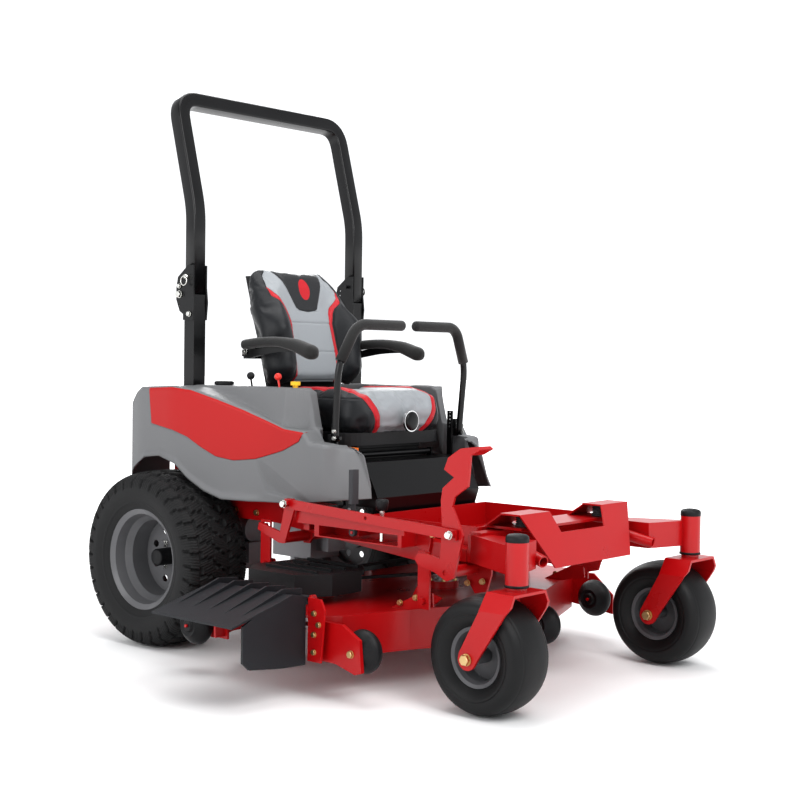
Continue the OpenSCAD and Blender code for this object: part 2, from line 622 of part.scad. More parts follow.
// ---- deck lift -----------------------------------------------------------------------
pedal_pts = [[1185, 341], [1140, 362], [1077, 377], [1065, 392], [1077, 410], [1105, 413], [1160, 403],
    [1166, 503], [1160, 569], [1166, 606], [1207, 639], [1170, 659], [1185, 694], [1229, 722], [1266, 706],
    [1258, 616], [1211, 584], [1202, 554], [1228, 506], [1243, 476], [1211, 352]];
module front_lift_crank() color("red") {
    difference() {
        union() {
            plate_xz(pedal_pts, -434, -426);
            // treadle across the top
            plate_xz([[1229, 722], [1290, 730], [1301, 722], [1266, 704], [1235, 712]], -434, -375);
        }
        ycyl(8 + run, -440, -420, 1214, 478);
        ycyl(8, -440, -420, crank_f[0], crank_f[1]);
    }
    difference() {
        plate_xz([[1195, 350], [1175, 346], [1078, 380], [1066, 396], [1080, 410], [1190, 384]], 426, 434);
        ycyl(8, 420, 440, crank_f[0], crank_f[1]);
    }
    ycyl(17, -430, 430, crank_f[0], crank_f[1]);
    both() ycyl(7, 407, 430, crank_f[0] - lift_arm * cos(lift_up), crank_f[1] + lift_arm * sin(lift_up));
}
module rear_lift_crank() color("red") {
    c = crank_r;
    both() {
        plate_xz([[c[0] + 14, c[1] - 14], [c[0] - 12, c[1] - 16], [c[0] - 112, c[1] + 18],
            [c[0] - 106, c[1] + 42],
            [c[0] - 12, c[1] + 20], [c[0] + 12, c[1] + 16]], 426, 434);
        ycyl(7, 407, 430, c[0] - lift_arm * cos(lift_up), c[1] + lift_arm * sin(lift_up));
    }
    difference() {
        plate_xz([[c[0] - 14, c[1]], [c[0] + 16, c[1] - 6], [c[0] + 56, c[1] + 100], [c[0] + 48,
            c[1] + 128],
            [c[0] + 22, c[1] + 128], [c[0] + 12, c[1] + 106]], -434, -426);
        ycyl(9, -440, -420, c[0] + 35, c[1] + 113);
    }
    ycyl(17, -430, 430, c[0], c[1]);
}
module lift_rod() color("red") {
    // flat link from the pedal plate back to the rear crank
    difference() {
        plate_xz([[1226, 492], [535, 527], [532, 497], [1226, 462]], -446, -437);
        ycyl(6, -450, -430, 880, 495);
    }
    ycyl(8 - run, -452, -424, 1214, 478);
    hexy(-460, -452, 1214, 478, 19);
    ycyl(8, -452, -426.5, 547, 512);
    hexy(-460, -452, 547, 512, 19);
}
module height_pin() color("silver") {
    zcyl(6, 424, 506, 901, -395, 24);
    zcyl(8, 506, 520, 901, -395, 24);
    zcyl(17, 520, 546, 901, -395, 32);
}
module parking_brake() color("dimgray") {
    // wide handle on a flat arm that passes through the shelf
    for (y = [-411, -393]) zcyl(9, 528, 632, brake_x, y, 32);
    box([brake_x - 9, brake_x + 9], [-411, -393], [528, 632]);
    box([brake_x - 8, brake_x + 8], [-405, -399], [450, 530]);
    difference() {
        ycyl(12, -408, -396, brake_x, brake_z);
        ycyl(5, -415, -390, brake_x, brake_z, 24);
    }
}

// ---- controls ------------------------------------------------------------------------
module control_mount(s) color("black") side(s) {
    difference() {
        union() {
            ycyl(14, 263, 292, 600, 620);
            box([590, 610], [284, 292], [620, 790]);
            box([596, 611], [290, 318], [704, 728]);
        }
        ycyl(7 + run, 260, 300, 600, 620);
        for (i = [0 : 4]) ycyl(4, 280, 296, 600, 736 + 12 * i, 24);
    }
    xcyl(6 - run, 610, 640, 305, 716, 24);
}
module control_lever(s) color("black") side(s) {
    difference() {
        box([612, 634], [296, 314], [704, 760]);
        xcyl(6 + run, 600, 640, 305, 716, 24);
    }
    rod([[624, 312, 744], [636, 317, 924], [639, 304, 974]], 11);
    rod([[638, 309, 960], [648, 260, 1052], [652, 234, 1076], [653, 40, 1078]], 17.5);
    translate([653, 40, 1078]) sphere(r = 17.9, $fn = 32);
}

// ---- seat ----------------------------------------------------------------------------
module seat_base() color("black") {
    difference() {
        union() {
            box([230, 590], [-170, 170], [641, 648]);
            ycyl(9, -180, 180, 594, 655);
            box([570, 594], [-150, 150], [646, 652]);
        }
        ycyl(5 + run, -190, 190, 594, 655, 32);
    }
    both() box([250, 560], [120, 132], [647, 655]);
}
module seat_pan() color("black") {
    difference() {
        translate([0, 0, 686]) linear_extrude(42) polygon(concat(arc([550, 180], 62, 0, 90, 5),
            arc([250, 180], 62, 90, 180, 5), arc([250, -180], 62, 180, 270, 5), arc([550, -180],
                62, 270, 360, 5)));
        box([240, 570], [-180, 180], [704, 740]);
    }
    // back shell and armrest brackets
    plate_xz([[196, 700], [206, 700], [130, 1010], [60, 1250], [40, 1250], [112, 1010]], -170, 170);
    both() {
        box([108, 166], [231, 237], [962, 1002]);
        ycyl(7, 234, 266, 150, 985, 24);
        box([108, 128], [160, 237], [962, 1002]);
    }
}
module seat_cushion() color("dimgray") {
    intersection() {
        plate_xz(concat([[262, 732], [640, 732]], arc([632, 756], 26, -60, 0, 3), arc([618, 826],
            40, 0, 80, 5),
            [[560, 872], [400, 856], [262, 850]]), -236, 236);
        translate([0, 0, 700]) linear_extrude(200) polygon(concat(arc([560, 166], 98, -10, 70, 6)
            , [[300, 236], [262, 220]], [[262, -220], [300, -236]], arc([560, -166], 98, -70, 10, 6)));
    }
}
module seat_back() color("dimgray") {
    intersection() {
        plate_xz([[212, 866], [300, 870], [290, 940], [240, 1080], [180, 1210], [150, 1262], [118, 1280],
            [82, 1276], [66, 1252], [140, 1000]], -232, 232);
        plate_yz(concat([[-200, 860], [-228, 900], [-228, 1120]], [[-212, 1200], [-190, 1262], [-150, 1284],
            [150, 1284], [190, 1262], [212, 1200], [228, 1120], [228, 900], [200, 860]]), 0, 320);
    }
}
module armrest(s) color("black") side(s) {
    difference() {
        plate_xz([[132, 968], [172, 966], [430, 998], [476, 996], [492, 1010], [486, 1030], [450, 1042],
            [300, 1040], [160, 1030], [132, 1000]], 242, 290);
        ycyl(7 + run, 230, 300, 150, 985, 24);
        box([120, 200], [262.5, 300], [900, 1060]);
    }
}
module seat_knob() color("silver") {
    xcyl(12, 659, 665, 0, 764);
    xcyl(35, 664, 673, 0, 764, 48);
    xcyl(24, 673, 676, 0, 764);
}
module seat_latch() color("orange") {
    box([566, 628], [-240, -226], [678, 684]);
    box([622, 648], [-262, -230], [674, 684]);
}

place() main_rails();
place() rear_frame();
place() front_frame();
place() foot_pan();
place() foot_plate();
place() foot_boots();
place() seat_box();
place() rops_posts();
place() fender(-1);  // fender_right
place() fender(1);  // fender_left
place() side_panels();
place() engine_block();
place() engine_cover();
place() muffler();
place() transaxles();
place() fuel_cap();
place() pto_pulley();
place() rops_hoop();
place() rear_tyre(-1);  // rear_tyre_right
place() rear_tyre(1);  // rear_tyre_left
place() rear_rim(-1);  // rear_rim_right
place() rear_rim(1);  // rear_rim_left
place() caster_fork(-1);  // caster_fork_right
place() caster_fork(1);  // caster_fork_left
place() caster_tyre(-1);  // caster_tyre_right
place() caster_tyre(1);  // caster_tyre_left
place() caster_rim(-1);  // caster_rim_right
place() caster_rim(1);  // caster_rim_left
place() deck_shell();
place() lift_links();
place() belt_covers();
place() deck_belt();
place() discharge_chute();
place() spindle(0);  // spindle_right
place() spindle(1);  // spindle_centre
place() spindle(2);  // spindle_left
place() roller(0);  // roller_right
place() roller(1);  // roller_left
place() roller(2);  // roller_centre
place() {  // rollers_rear
    roller(3);
    roller(4);
}
place() front_lift_crank();
place() rear_lift_crank();
place() lift_rod();
place() height_pin();
place() parking_brake();
place() control_mount(-1);  // control_mount_right
place() control_mount(1);  // control_mount_left
place() control_lever(-1);  // control_lever_right
place() control_lever(1);  // control_lever_left
place() seat_base();
place() seat_pan();
place() seat_cushion();
place() seat_back();
place() armrest(-1);  // armrest_right
place() armrest(1);  // armrest_left
place() seat_knob();
place() seat_latch();
place() throttle_lever();
place() choke_lever();
place() pto_switch();
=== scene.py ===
"""Zero turn mower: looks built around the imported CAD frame."""
import json
import math

import bmesh
import bpy
import numpy as np
from mathutils import Matrix, Vector


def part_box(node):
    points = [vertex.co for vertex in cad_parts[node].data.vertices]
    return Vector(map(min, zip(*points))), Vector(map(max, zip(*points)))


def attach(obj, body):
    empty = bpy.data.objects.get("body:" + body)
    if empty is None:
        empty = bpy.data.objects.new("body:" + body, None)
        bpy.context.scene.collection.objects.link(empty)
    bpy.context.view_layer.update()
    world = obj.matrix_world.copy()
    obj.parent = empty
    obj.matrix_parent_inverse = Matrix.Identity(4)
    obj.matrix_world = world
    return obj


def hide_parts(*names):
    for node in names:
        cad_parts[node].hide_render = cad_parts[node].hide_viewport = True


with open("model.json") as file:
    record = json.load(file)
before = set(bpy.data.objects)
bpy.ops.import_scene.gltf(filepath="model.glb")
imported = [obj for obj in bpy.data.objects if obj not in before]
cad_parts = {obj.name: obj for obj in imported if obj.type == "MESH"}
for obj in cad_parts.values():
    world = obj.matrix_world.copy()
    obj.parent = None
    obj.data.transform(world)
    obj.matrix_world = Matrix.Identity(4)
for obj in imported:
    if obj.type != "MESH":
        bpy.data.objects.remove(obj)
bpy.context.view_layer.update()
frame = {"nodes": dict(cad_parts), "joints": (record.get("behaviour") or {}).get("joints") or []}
nodes = frame["nodes"]
joint_at = {j["name"]: Vector(j["pos_m"]) for j in frame["joints"] if j.get("pos_m")}
axle = (joint_at["wheel_right_spin"] + joint_at["wheel_left_spin"]) / 2
MM = 0.001
RIGHT, LEFT = -1, 1
SIDES = ((RIGHT, "right"), (LEFT, "left"))


def at(x, y, z):
    """A point in millimetres ahead of the rear axle, left of the centre plane and above the ground."""
    return Vector((axle.x + x * MM, axle.y + y * MM, z * MM))


def rows_at(points):
    """Points as in at(), as an array in metres."""
    p = np.asarray(points, float) * MM
    p[..., 0] += axle.x
    p[..., 1] += axle.y
    return p


def smooth(a, b, x):
    """0 below a, 1 above b and an S curve between."""
    t = np.clip((np.asarray(x, float) - a) / (b - a), 0, 1)
    return t * t * (3 - 2 * t)


def along(table, x):
    """Straight-line value at x in a table of (x, value) pairs."""
    t = np.asarray(table, float)
    return np.interp(x, t[:, 0], t[:, 1])


# ---- materials ------------------------------------------------------------------------

def material(name, colour, rough, metal=0.0, coat=0.0, grain=900.0, bump=0.15, vary=0.12,
             edge=None, bevel=0.0012, sheen=0.0, patches=None, leather=0.0, rough_vary=0.08,
             shine=0.3):
    """A finish with cloudy colour, uneven gloss, fine grain, rounded edges and a lighter edge colour that is partly
    wear and partly a painted highlight.
    """
    m = bpy.data.materials.new(name)
    m.use_nodes = True
    tree = m.node_tree
    tree.nodes.clear()
    new, link = tree.nodes.new, tree.links.new
    out = new("ShaderNodeOutputMaterial")
    shader = new("ShaderNodeBsdfPrincipled")
    link(shader.outputs[0], out.inputs[0])
    shader.inputs["Metallic"].default_value = metal
    shader.inputs["Coat Weight"].default_value = coat
    shader.inputs["Coat Roughness"].default_value = 0.12
    shader.inputs["Sheen Weight"].default_value = sheen
    shader.inputs["Specular IOR Level"].default_value = shine
    place = new("ShaderNodeTexCoord").outputs["Object"]
    cloud = new("ShaderNodeTexNoise")
    cloud.inputs["Scale"].default_value = 7.0
    cloud.inputs["Detail"].default_value = 6.0
    link(place, cloud.inputs["Vector"])
    dark = new("ShaderNodeMix")
    dark.data_type = "RGBA"
    c = Vector(colour)
    dark.inputs[6].default_value = (*(c * (1 - vary)), 1)
    dark.inputs[7].default_value = (*(c * (1 + vary)), 1)
    link(cloud.outputs[0], dark.inputs[0])
    shade = dark.outputs[2]
    for mask, tint in patches(tree, place) if patches else ():
        mix = new("ShaderNodeMix")
        mix.data_type = "RGBA"
        link(mask, mix.inputs[0])
        link(shade, mix.inputs[6])
        mix.inputs[7].default_value = (*tint, 1)
        shade = mix.outputs[2]
    fine = new("ShaderNodeTexNoise")
    fine.inputs["Scale"].default_value = grain
    fine.inputs["Detail"].default_value = 3.0
    link(place, fine.inputs["Vector"])
    height = fine.outputs[0]
    if leather:
        cells = new("ShaderNodeTexVoronoi")
        cells.inputs["Scale"].default_value = leather
        link(place, cells.inputs["Vector"])
        height = cells.outputs["Distance"]
    gloss = new("ShaderNodeMapRange")
    gloss.inputs[3].default_value = max(0.03, rough - rough_vary)
    gloss.inputs[4].default_value = min(1.0, rough + rough_vary)
    link(cloud.outputs[0], gloss.inputs[0])
    link(gloss.outputs[0], shader.inputs["Roughness"])
    lumps = new("ShaderNodeBump")
    lumps.inputs["Strength"].default_value = bump
    lumps.inputs["Distance"].default_value = 0.0006
    link(height, lumps.inputs["Height"])
    if bevel:
        soft = new("ShaderNodeBevel")
        soft.samples = 4
        soft.inputs["Radius"].default_value = bevel
        link(soft.outputs[0], lumps.inputs["Normal"])
        # Lighter colour along edges: partly wear, partly a painted highlight.
        if edge:
            true = new("ShaderNodeNewGeometry")
            dot = new("ShaderNodeVectorMath")
            dot.operation = "DOT_PRODUCT"
            link(soft.outputs[0], dot.inputs[0])
            link(true.outputs["Normal"], dot.inputs[1])
            edge_wear_and_highlight = new("ShaderNodeMapRange")
            edge_wear_and_highlight.inputs[1].default_value = 0.985
            edge_wear_and_highlight.inputs[2].default_value = 0.90
            edge_wear_and_highlight.inputs[4].default_value = 0.55
            link(dot.outputs["Value"], edge_wear_and_highlight.inputs[0])
            mix = new("ShaderNodeMix")
            mix.data_type = "RGBA"
            link(edge_wear_and_highlight.outputs[0], mix.inputs[0])
            link(shade, mix.inputs[6])
            mix.inputs[7].default_value = (*edge, 1)
            shade = mix.outputs[2]
    link(shade, shader.inputs["Base Color"])
    link(lumps.outputs[0], shader.inputs["Normal"])
    return m


def maths(tree, kind, a, b=None, c=None):
    """One Math node. Each of a, b, c is a number or a socket."""
    n = tree.nodes.new("ShaderNodeMath")
    n.operation = kind
    for i, v in enumerate((a, b, c)):
        if v is None:
            continue
        if isinstance(v, (int, float)):
            n.inputs[i].default_value = v
        else:
            tree.links.new(v, n.inputs[i])
    return n.outputs[0]


def piecewise(tree, table, x):
    """A socket with the straight-line value at socket x of a table of (x, value) pairs."""
    ramp = tree.nodes.new("ShaderNodeValToRGB")
    lo, hi = table[0][0], table[-1][0]
    top = max(v for _, v in table)
    while len(ramp.color_ramp.elements) < len(table):
        ramp.color_ramp.elements.new(0.5)
    for e, (k, v) in zip(ramp.color_ramp.elements, table):
        e.position = (k - lo) / (hi - lo)
        e.color = (v / top, v / top, v / top, 1)
    t = tree.nodes.new("ShaderNodeMapRange")
    t.inputs[1].default_value = lo
    t.inputs[2].default_value = hi
    tree.links.new(x, t.inputs[0])
    tree.links.new(t.outputs[0], ramp.inputs[0])
    return maths(tree, "MULTIPLY", ramp.outputs[0], top)


def split(tree, place):
    """Sockets for the distance ahead of the rear axle, from the centre plane and above the ground, in metres."""
    n = tree.nodes.new("ShaderNodeSeparateXYZ")
    tree.links.new(place, n.inputs[0])
    x = maths(tree, "SUBTRACT", n.outputs[0], axle.x)
    y = maths(tree, "ABSOLUTE", maths(tree, "SUBTRACT", n.outputs[1], axle.y))
    return x, y, n.outputs[2]


def inside(tree, value, low, high, soft=0.0006):
    """1 where value lies between low and high, each a number or a socket, with a soft edge."""
    a = maths(tree, "MULTIPLY", maths(tree, "SUBTRACT", value, low), 1 / soft)
    b = maths(tree, "MULTIPLY", maths(tree, "SUBTRACT", high, value), 1 / soft)
    a = maths(tree, "MINIMUM", maths(tree, "MAXIMUM", a, 0.0), 1.0)
    b = maths(tree, "MINIMUM", maths(tree, "MAXIMUM", b, 0.0), 1.0)
    return maths(tree, "MULTIPLY", a, b)


VINYL_GREY = (0.27, 0.285, 0.30)
VINYL_RED = (0.42, 0.012, 0.02)
BACK_CENTRE = [(0.86, 0.1), (0.99, 0.098), (1.09, 0.093), (1.126, 0.1), (1.145, 0.108), (1.18, 0.142),
               (1.209, 0.166), (1.24, 0.158), (1.282, 0.122), (1.29, 0.115)]
BACK_STRIPE = [(0.86, 0.011), (1.0, 0.009), (1.09, 0.011), (1.14, 0.017), (1.18, 0.025), (1.205, 0.006),
               (1.215, 0.0), (1.29, 0.0)]
PATCH_EDGE = [(1.128, 0.0), (1.134, 0.04), (1.142, 0.052), (1.28, 0.116), (1.3, 0.116)]
BACK_SEAMS = (0.888, 0.99, 1.09)
BADGE_Z = 1.208


def back_patches(tree, place):
    """Grey centre, red stripes, black head patch and plain red oval of the seat back."""
    x, y, z = split(tree, place)
    centre = piecewise(tree, BACK_CENTRE, z)
    stripe = maths(tree, "ADD", centre, piecewise(tree, BACK_STRIPE, z))
    front = inside(tree, x, maths(tree, "MULTIPLY_ADD", z, -0.33, 0.40), 0.6, 0.004)
    grey = maths(tree, "MULTIPLY", inside(tree, y, -1.0, centre), front)
    red = maths(tree, "MULTIPLY", inside(tree, y, centre, stripe), front)
    patch = maths(tree, "MULTIPLY", inside(tree, y, -1.0, piecewise(tree, PATCH_EDGE, z)),
                  inside(tree, z, 1.128, 1.4))
    away = maths(tree, "ADD", maths(tree, "POWER", maths(tree, "DIVIDE", y, 0.026), 2.0),
                 maths(tree, "POWER", maths(tree, "ABSOLUTE", maths(tree, "DIVIDE", maths(
                     tree, "SUBTRACT", z, BADGE_Z), 0.037)), 2.0))
    badge = maths(tree, "MULTIPLY", inside(tree, away, -1.0, 1.0, 0.03), front)
    return (grey, VINYL_GREY), (red, VINYL_RED), (maths(tree, "MULTIPLY", patch, front), (0.02, 0.021, 0.023)), (
        badge, VINYL_RED)


CUSHION_CENTRE = [(0.72, 0.1), (0.74, 0.108), (0.84, 0.152), (0.9, 0.156)]
STRIPE_W = 0.026


def cushion_patches(tree, place):
    """Grey centre and red stripes of the seat cushion."""
    x, y, z = split(tree, place)
    centre = piecewise(tree, CUSHION_CENTRE, z)
    ahead = inside(tree, x, 0.30, 1.0, 0.004)
    grey = maths(tree, "MULTIPLY", inside(tree, y, -1.0, centre), ahead)
    edge = maths(tree, "ADD", centre, STRIPE_W)
    red = maths(tree, "MULTIPLY", inside(tree, y, centre, edge), ahead)
    return (grey, VINYL_GREY), (red, VINYL_RED)


def hub_patches(tree, place):
    """The black middle of a rear wheel."""
    x, _, z = split(tree, place)
    r2 = maths(tree, "ADD", maths(tree, "POWER", maths(tree, "ABSOLUTE", x), 2.0), maths(
        tree, "POWER", maths(tree, "ABSOLUTE", maths(tree, "SUBTRACT", z, axle.z)), 2.0))
    return ((inside(tree, r2, -1.0, 0.00078, 0.00001), (0.012, 0.012, 0.013)),)


RED = (0.38, 0.004, 0.006)
# The edge colours given below are lighter than the base: partly wear, partly a painted highlight along edges.
red_paint = material("red_paint", RED, 0.3, coat=0.2, grain=700, bump=0.1, vary=0.06, edge=(0.5, 0.015, 0.015))
black_paint = material("black_paint", (0.004, 0.004, 0.0045), 0.3, coat=0.15, grain=700, bump=0.12,
                       edge=(0.03, 0.03, 0.03))
grey_shell = material("grey_shell", (0.145, 0.147, 0.151), 0.5, grain=1500, bump=0.28, vary=0.04, bevel=0.0)
red_shell = material("red_shell", (0.36, 0.007, 0.007), 0.42, grain=1200, bump=0.12, vary=0.03, bevel=0.0)
rubber = material("rubber", (0.010, 0.010, 0.0105), 0.62, grain=800, bump=0.3, vary=0.2, bevel=0.0)
caster_rubber = material("caster_rubber", (0.007, 0.007, 0.0075), 0.5, grain=600, bump=0.15, vary=0.15, bevel=0.0)
rim_paint = material("rim_paint", (0.115, 0.115, 0.12), 0.38, coat=0.15, grain=800, bump=0.12, bevel=0.0,
                     patches=hub_patches)
caster_rim_paint = material("caster_rim_paint", (0.09, 0.09, 0.095), 0.4, grain=800, bump=0.12, bevel=0.001)
# Lighter edge colours on the mouldings too: partly wear, partly a painted highlight.
black_mould = material("black_mould", (0.007, 0.007, 0.008), 0.48, grain=1400, bump=0.3, vary=0.12,
                       edge=(0.03, 0.03, 0.033))
chute_mould = material("chute_mould", (0.017, 0.018, 0.021), 0.46, grain=900, bump=0.25, vary=0.12,
                       edge=(0.05, 0.053, 0.058))
foam = material("foam", (0.015, 0.015, 0.015), 0.78, grain=1800, bump=0.5, vary=0.12, sheen=0.2, bevel=0.0)
boot_rubber = material("boot_rubber", (0.045, 0.046, 0.05), 0.6, grain=900, bump=0.2, bevel=0.0)
cast_metal = material("cast_metal", (0.27, 0.27, 0.28), 0.5, metal=0.7, grain=260, bump=0.5, vary=0.2,
                      rough_vary=0.15)
muffler_steel = material("muffler_steel", (0.30, 0.28, 0.26), 0.42, metal=0.9, grain=300, bump=0.2, vary=0.25,
                         rough_vary=0.15)
steel = material("steel", (0.45, 0.45, 0.46), 0.36, metal=1.0, grain=500, bump=0.2, vary=0.15)
zinc = material("zinc", (0.66, 0.66, 0.63), 0.25, metal=1.0, grain=500, bump=0.1, bevel=0.0006)
gold_zinc = material("gold_zinc", (0.60, 0.44, 0.22), 0.3, metal=1.0, grain=500, bump=0.1, vary=0.25, bevel=0.0006)
black_gloss = material("black_gloss", (0.004, 0.004, 0.005), 0.3, grain=400, bump=0.02, bevel=0.0)
chrome = material("chrome", (0.6, 0.6, 0.61), 0.12, metal=1.0, grain=400, bump=0.03, bevel=0.0)
red_knob = material("red_knob", (0.62, 0.03, 0.02), 0.35, coat=0.3, grain=900, bump=0.05, bevel=0.0)
yellow_knob = material("yellow_knob", (0.75, 0.42, 0.02), 0.4, grain=900, bump=0.08, bevel=0.0008)
orange_tab = material("orange_tab", (0.72, 0.16, 0.01), 0.4, grain=900, bump=0.1, bevel=0.0008)
INK = (0.010, 0.011, 0.013)
vinyl_back = material("vinyl_back", INK, 0.42, grain=900, bump=0.5, leather=420, bevel=0.0, patches=back_patches,
                      sheen=0.05)
vinyl_cushion = material("vinyl_cushion", INK, 0.42, grain=900, bump=0.5, leather=420, bevel=0.0,
                         patches=cushion_patches, sheen=0.05)

# ---- mesh helpers ---------------------------------------------------------------------

def piece(name, verts, faces, mat, body, slot=None, is_smooth=True, replaces=()):
    """A new mesh that rides on a CAD body."""
    mesh = bpy.data.meshes.new(name)
    mesh.from_pydata([tuple(v) for v in np.asarray(verts).reshape(-1, 3)], [], [tuple(f) for f in faces])
    mesh.update()
    o = bpy.data.objects.new(name, mesh)
    bpy.context.scene.collection.objects.link(o)
    mesh.materials.append(mat)
    mesh.polygons.foreach_set("use_smooth", [is_smooth] * len(mesh.polygons))
    return finish_piece(o, body, replaces)


def finish_piece(o, body, replaces=()):
    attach(o, body)
    if replaces:
        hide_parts(*replaces)
    return o


def grid_faces(rows, cols, close_rows=False, close_cols=False):
    """Quads of a grid of points, row by row."""
    out = []
    for i in range(rows if close_rows else rows - 1):
        for j in range(cols if close_cols else cols - 1):
            i2, j2 = (i + 1) % rows, (j + 1) % cols
            out.append((i * cols + j, i * cols + j2, i2 * cols + j2, i2 * cols + j))
    return out


def spun(profile, centre, axis="Y", n=96):
    """Points of a turned shape: profile is (radius, place along the axis) in mm, centre in metres."""
    p = np.asarray(profile, float) * MM
    a = np.linspace(0, 2 * math.pi, n, endpoint=False)
    r, h = p[:, 0][None, :], p[:, 1][None, :]
    c, s = np.cos(a)[:, None], np.sin(a)[:, None]
    if axis == "Y":
        pts = np.stack([c * r, h + 0 * c, s * r], -1)
    elif axis == "X":
        pts = np.stack([h + 0 * c, c * r, s * r], -1)
    else:
        pts = np.stack([c * r, s * r, h + 0 * c], -1)
    return pts + np.array(centre)


def turned(name, profile, centre, mat, body, axis="Y", n=96, **kw):
    pts = spun(profile, centre, axis, n)
    o = piece(name, pts, grid_faces(n, len(profile), close_rows=True), mat, body, **kw)
    recalc(o)
    return o


def drill(o, profile, centre):
    """Cuts a turned hole along Z out of a piece."""
    mesh = bpy.data.meshes.new("cutter")
    mesh.from_pydata([tuple(v) for v in spun(profile, centre, "Z", 64).reshape(-1, 3)], [],
                     grid_faces(64, len(profile), close_rows=True))
    cutter = bpy.data.objects.new("cutter", mesh)
    bpy.context.scene.collection.objects.link(cutter)
    recalc(cutter)
    apply(o, "BOOLEAN", operation="DIFFERENCE", object=cutter, solver="EXACT")
    bpy.data.objects.remove(cutter)


def recalc(o):
    """Makes the faces look outwards and joins points that share a place."""
    bm = bmesh.new()
    bm.from_mesh(o.data)
    bmesh.ops.remove_doubles(bm, verts=bm.verts, dist=1e-6)
    bmesh.ops.recalc_face_normals(bm, faces=bm.faces)
    bm.to_mesh(o.data)
    bm.free()


def bent(points, radius, steps=8):
    """A path with each inner corner turned into an arc-like curve of about that radius."""
    p = [Vector(q) for q in points]
    out = [p[0]]
    for i in range(1, len(p) - 1):
        a, b = p[i - 1] - p[i], p[i + 1] - p[i]
        cut = min(radius, a.length * 0.49, b.length * 0.49)
        s, e = p[i] + a.normalized() * cut, p[i] + b.normalized() * cut
        for k in range(steps + 1):
            t = k / steps
            out.append(s * (1 - t) ** 2 + p[i] * 2 * t * (1 - t) + e * t * t)
    out.append(p[-1])
    return out


def swept(path, section):
    """Rings of a section, given as (side, up) offsets in metres, carried along a path."""
    path = [Vector(p) for p in path]
    tangents = []
    for i in range(len(path)):
        t = path[min(i + 1, len(path) - 1)] - path[max(i - 1, 0)]
        tangents.append(t.normalized())
    up = Vector((0, 1, 0)) if abs(tangents[0].y) < 0.9 else Vector((1, 0, 0))
    rings = []
    for p, t in zip(path, tangents):
        side = t.cross(up).normalized()
        up = side.cross(t).normalized()
        rings.append([p + side * a + up * b for a, b in section])
    return rings


def round_section(r, n=20):
    return [(r * MM * math.cos(2 * math.pi * k / n), r * MM * math.sin(2 * math.pi * k / n)) for k in range(n)]


def square_section(w, r, n=4):
    """A square with rounded corners, in mm."""
    out = []
    h = w / 2 - r
    for q, (cx, cy) in enumerate(((h, h), (-h, h), (-h, -h), (h, -h))):
        for k in range(n + 1):
            a = math.pi / 2 * (q + k / n)
            out.append(((cx + r * math.cos(a)) * MM, (cy + r * math.sin(a)) * MM))
    return out


def tube(name, path, section, mat, body, **kw):
    """A solid bar of that section along a path, with closed ends."""
    rings = swept(path, section)
    n = len(section)
    verts = [v for ring in rings for v in ring]
    faces = grid_faces(len(rings), n, close_cols=True)
    for ring, order in ((rings[0], 1), (rings[-1], -1)):
        base = 0 if order == 1 else (len(rings) - 1) * n
        faces.append([base + k for k in (range(n) if order == 1 else reversed(range(n)))])
    o = piece(name, verts, faces, mat, body, **kw)
    recalc(o)
    return o


def apply(o, kind, **settings):
    """Adds a modifier and applies it at once."""
    m = o.modifiers.new(kind.lower(), kind)
    for k, v in settings.items():
        setattr(m, k, v)
    with bpy.context.temp_override(object=o, active_object=o, selected_objects=[o]):
        bpy.ops.object.modifier_apply(modifier=m.name)


def hex_bolt(centre, axis, across, high, washer=True):
    """Points and faces of a hexagon head on a washer; centre is the seat of the washer, in metres."""
    axis = Vector(axis).normalized()
    turn = axis.to_track_quat("Z", "Y").to_matrix()
    verts, faces = [], []

    def ring(r, z, n, start=0.0):
        first = len(verts)
        for k in range(n):
            a = 2 * math.pi * k / n + start
            verts.append(Vector(centre) + turn @ Vector((r * math.cos(a), r * math.sin(a), z)))
        return first

    def bridge(a, b, n):
        for k in range(n):
            faces.append((a + k, a + (k + 1) % n, b + (k + 1) % n, b + k))

    lift = 0.0
    if washer:
        w = across * 0.62
        t = across * 0.09
        a, b = ring(w, 0, 24), ring(w, t, 24)
        c = ring(across * 0.3, t, 24)
        bridge(a, b, 24)
        bridge(b, c, 24)
        lift = t
    r = across / math.sqrt(3)
    chamfer = across * 0.07
    a = ring(r, lift, 12)
    for k in range(1, 12, 2):
        verts[a + k] = (verts[a + k - 1] + verts[a + (k + 1) % 12]) / 2
    b = ring(r, lift + high - chamfer, 12)
    for k in range(1, 12, 2):
        verts[b + k] = (verts[b + k - 1] + verts[b + (k + 1) % 12]) / 2
    c = ring(across * 0.47, lift + high, 12)
    bridge(a, b, 12)
    bridge(b, c, 12)
    faces.append(tuple(range(c, c + 12)))
    return verts, faces


def bolts(name, heads, mat, body, slot):
    """Several hexagon heads as one piece. Each is (centre, axis, size across flats in mm)."""
    verts, faces = [], []
    for centre, axis, across in heads:
        v, f = hex_bolt(centre, axis, across * MM, across * 0.45 * MM)
        faces += [tuple(i + len(verts) for i in q) for q in f]
        verts += v
    o = piece(name, verts, faces, mat, body, slot=slot, is_smooth=False)
    return o

# ---- rear tyres and rims --------------------------------------------------------------

TYRE_R = 292.0
TYRE_W = 250.0
WAIST_R = 226.0
BEAD_R = 167.0
TREAD_DEPTH = 10.0


def tyre_line(rows):
    """Half a tyre section from the crown's middle to the bead: width, radius and length so far, in mm."""
    bend = np.linspace(0, 90, rows)
    w = TYRE_W / 2 * np.sin(np.radians(bend)) ** 0.70
    r = WAIST_R + (TYRE_R - WAIST_R) * np.cos(np.radians(bend)) ** 0.42
    low = np.linspace(WAIST_R, BEAD_R, rows // 4)[1:]
    w = np.append(w, TYRE_W / 2 - 20 * ((WAIST_R - low) / (WAIST_R - BEAD_R)) ** 1.7)
    r = np.append(r, low)
    q = np.append(0, np.cumsum(np.hypot(np.diff(w), np.diff(r))))
    even = np.linspace(0, q[-1], int(rows * 1.25))
    return np.interp(even, q, w), np.interp(even, q, r), even


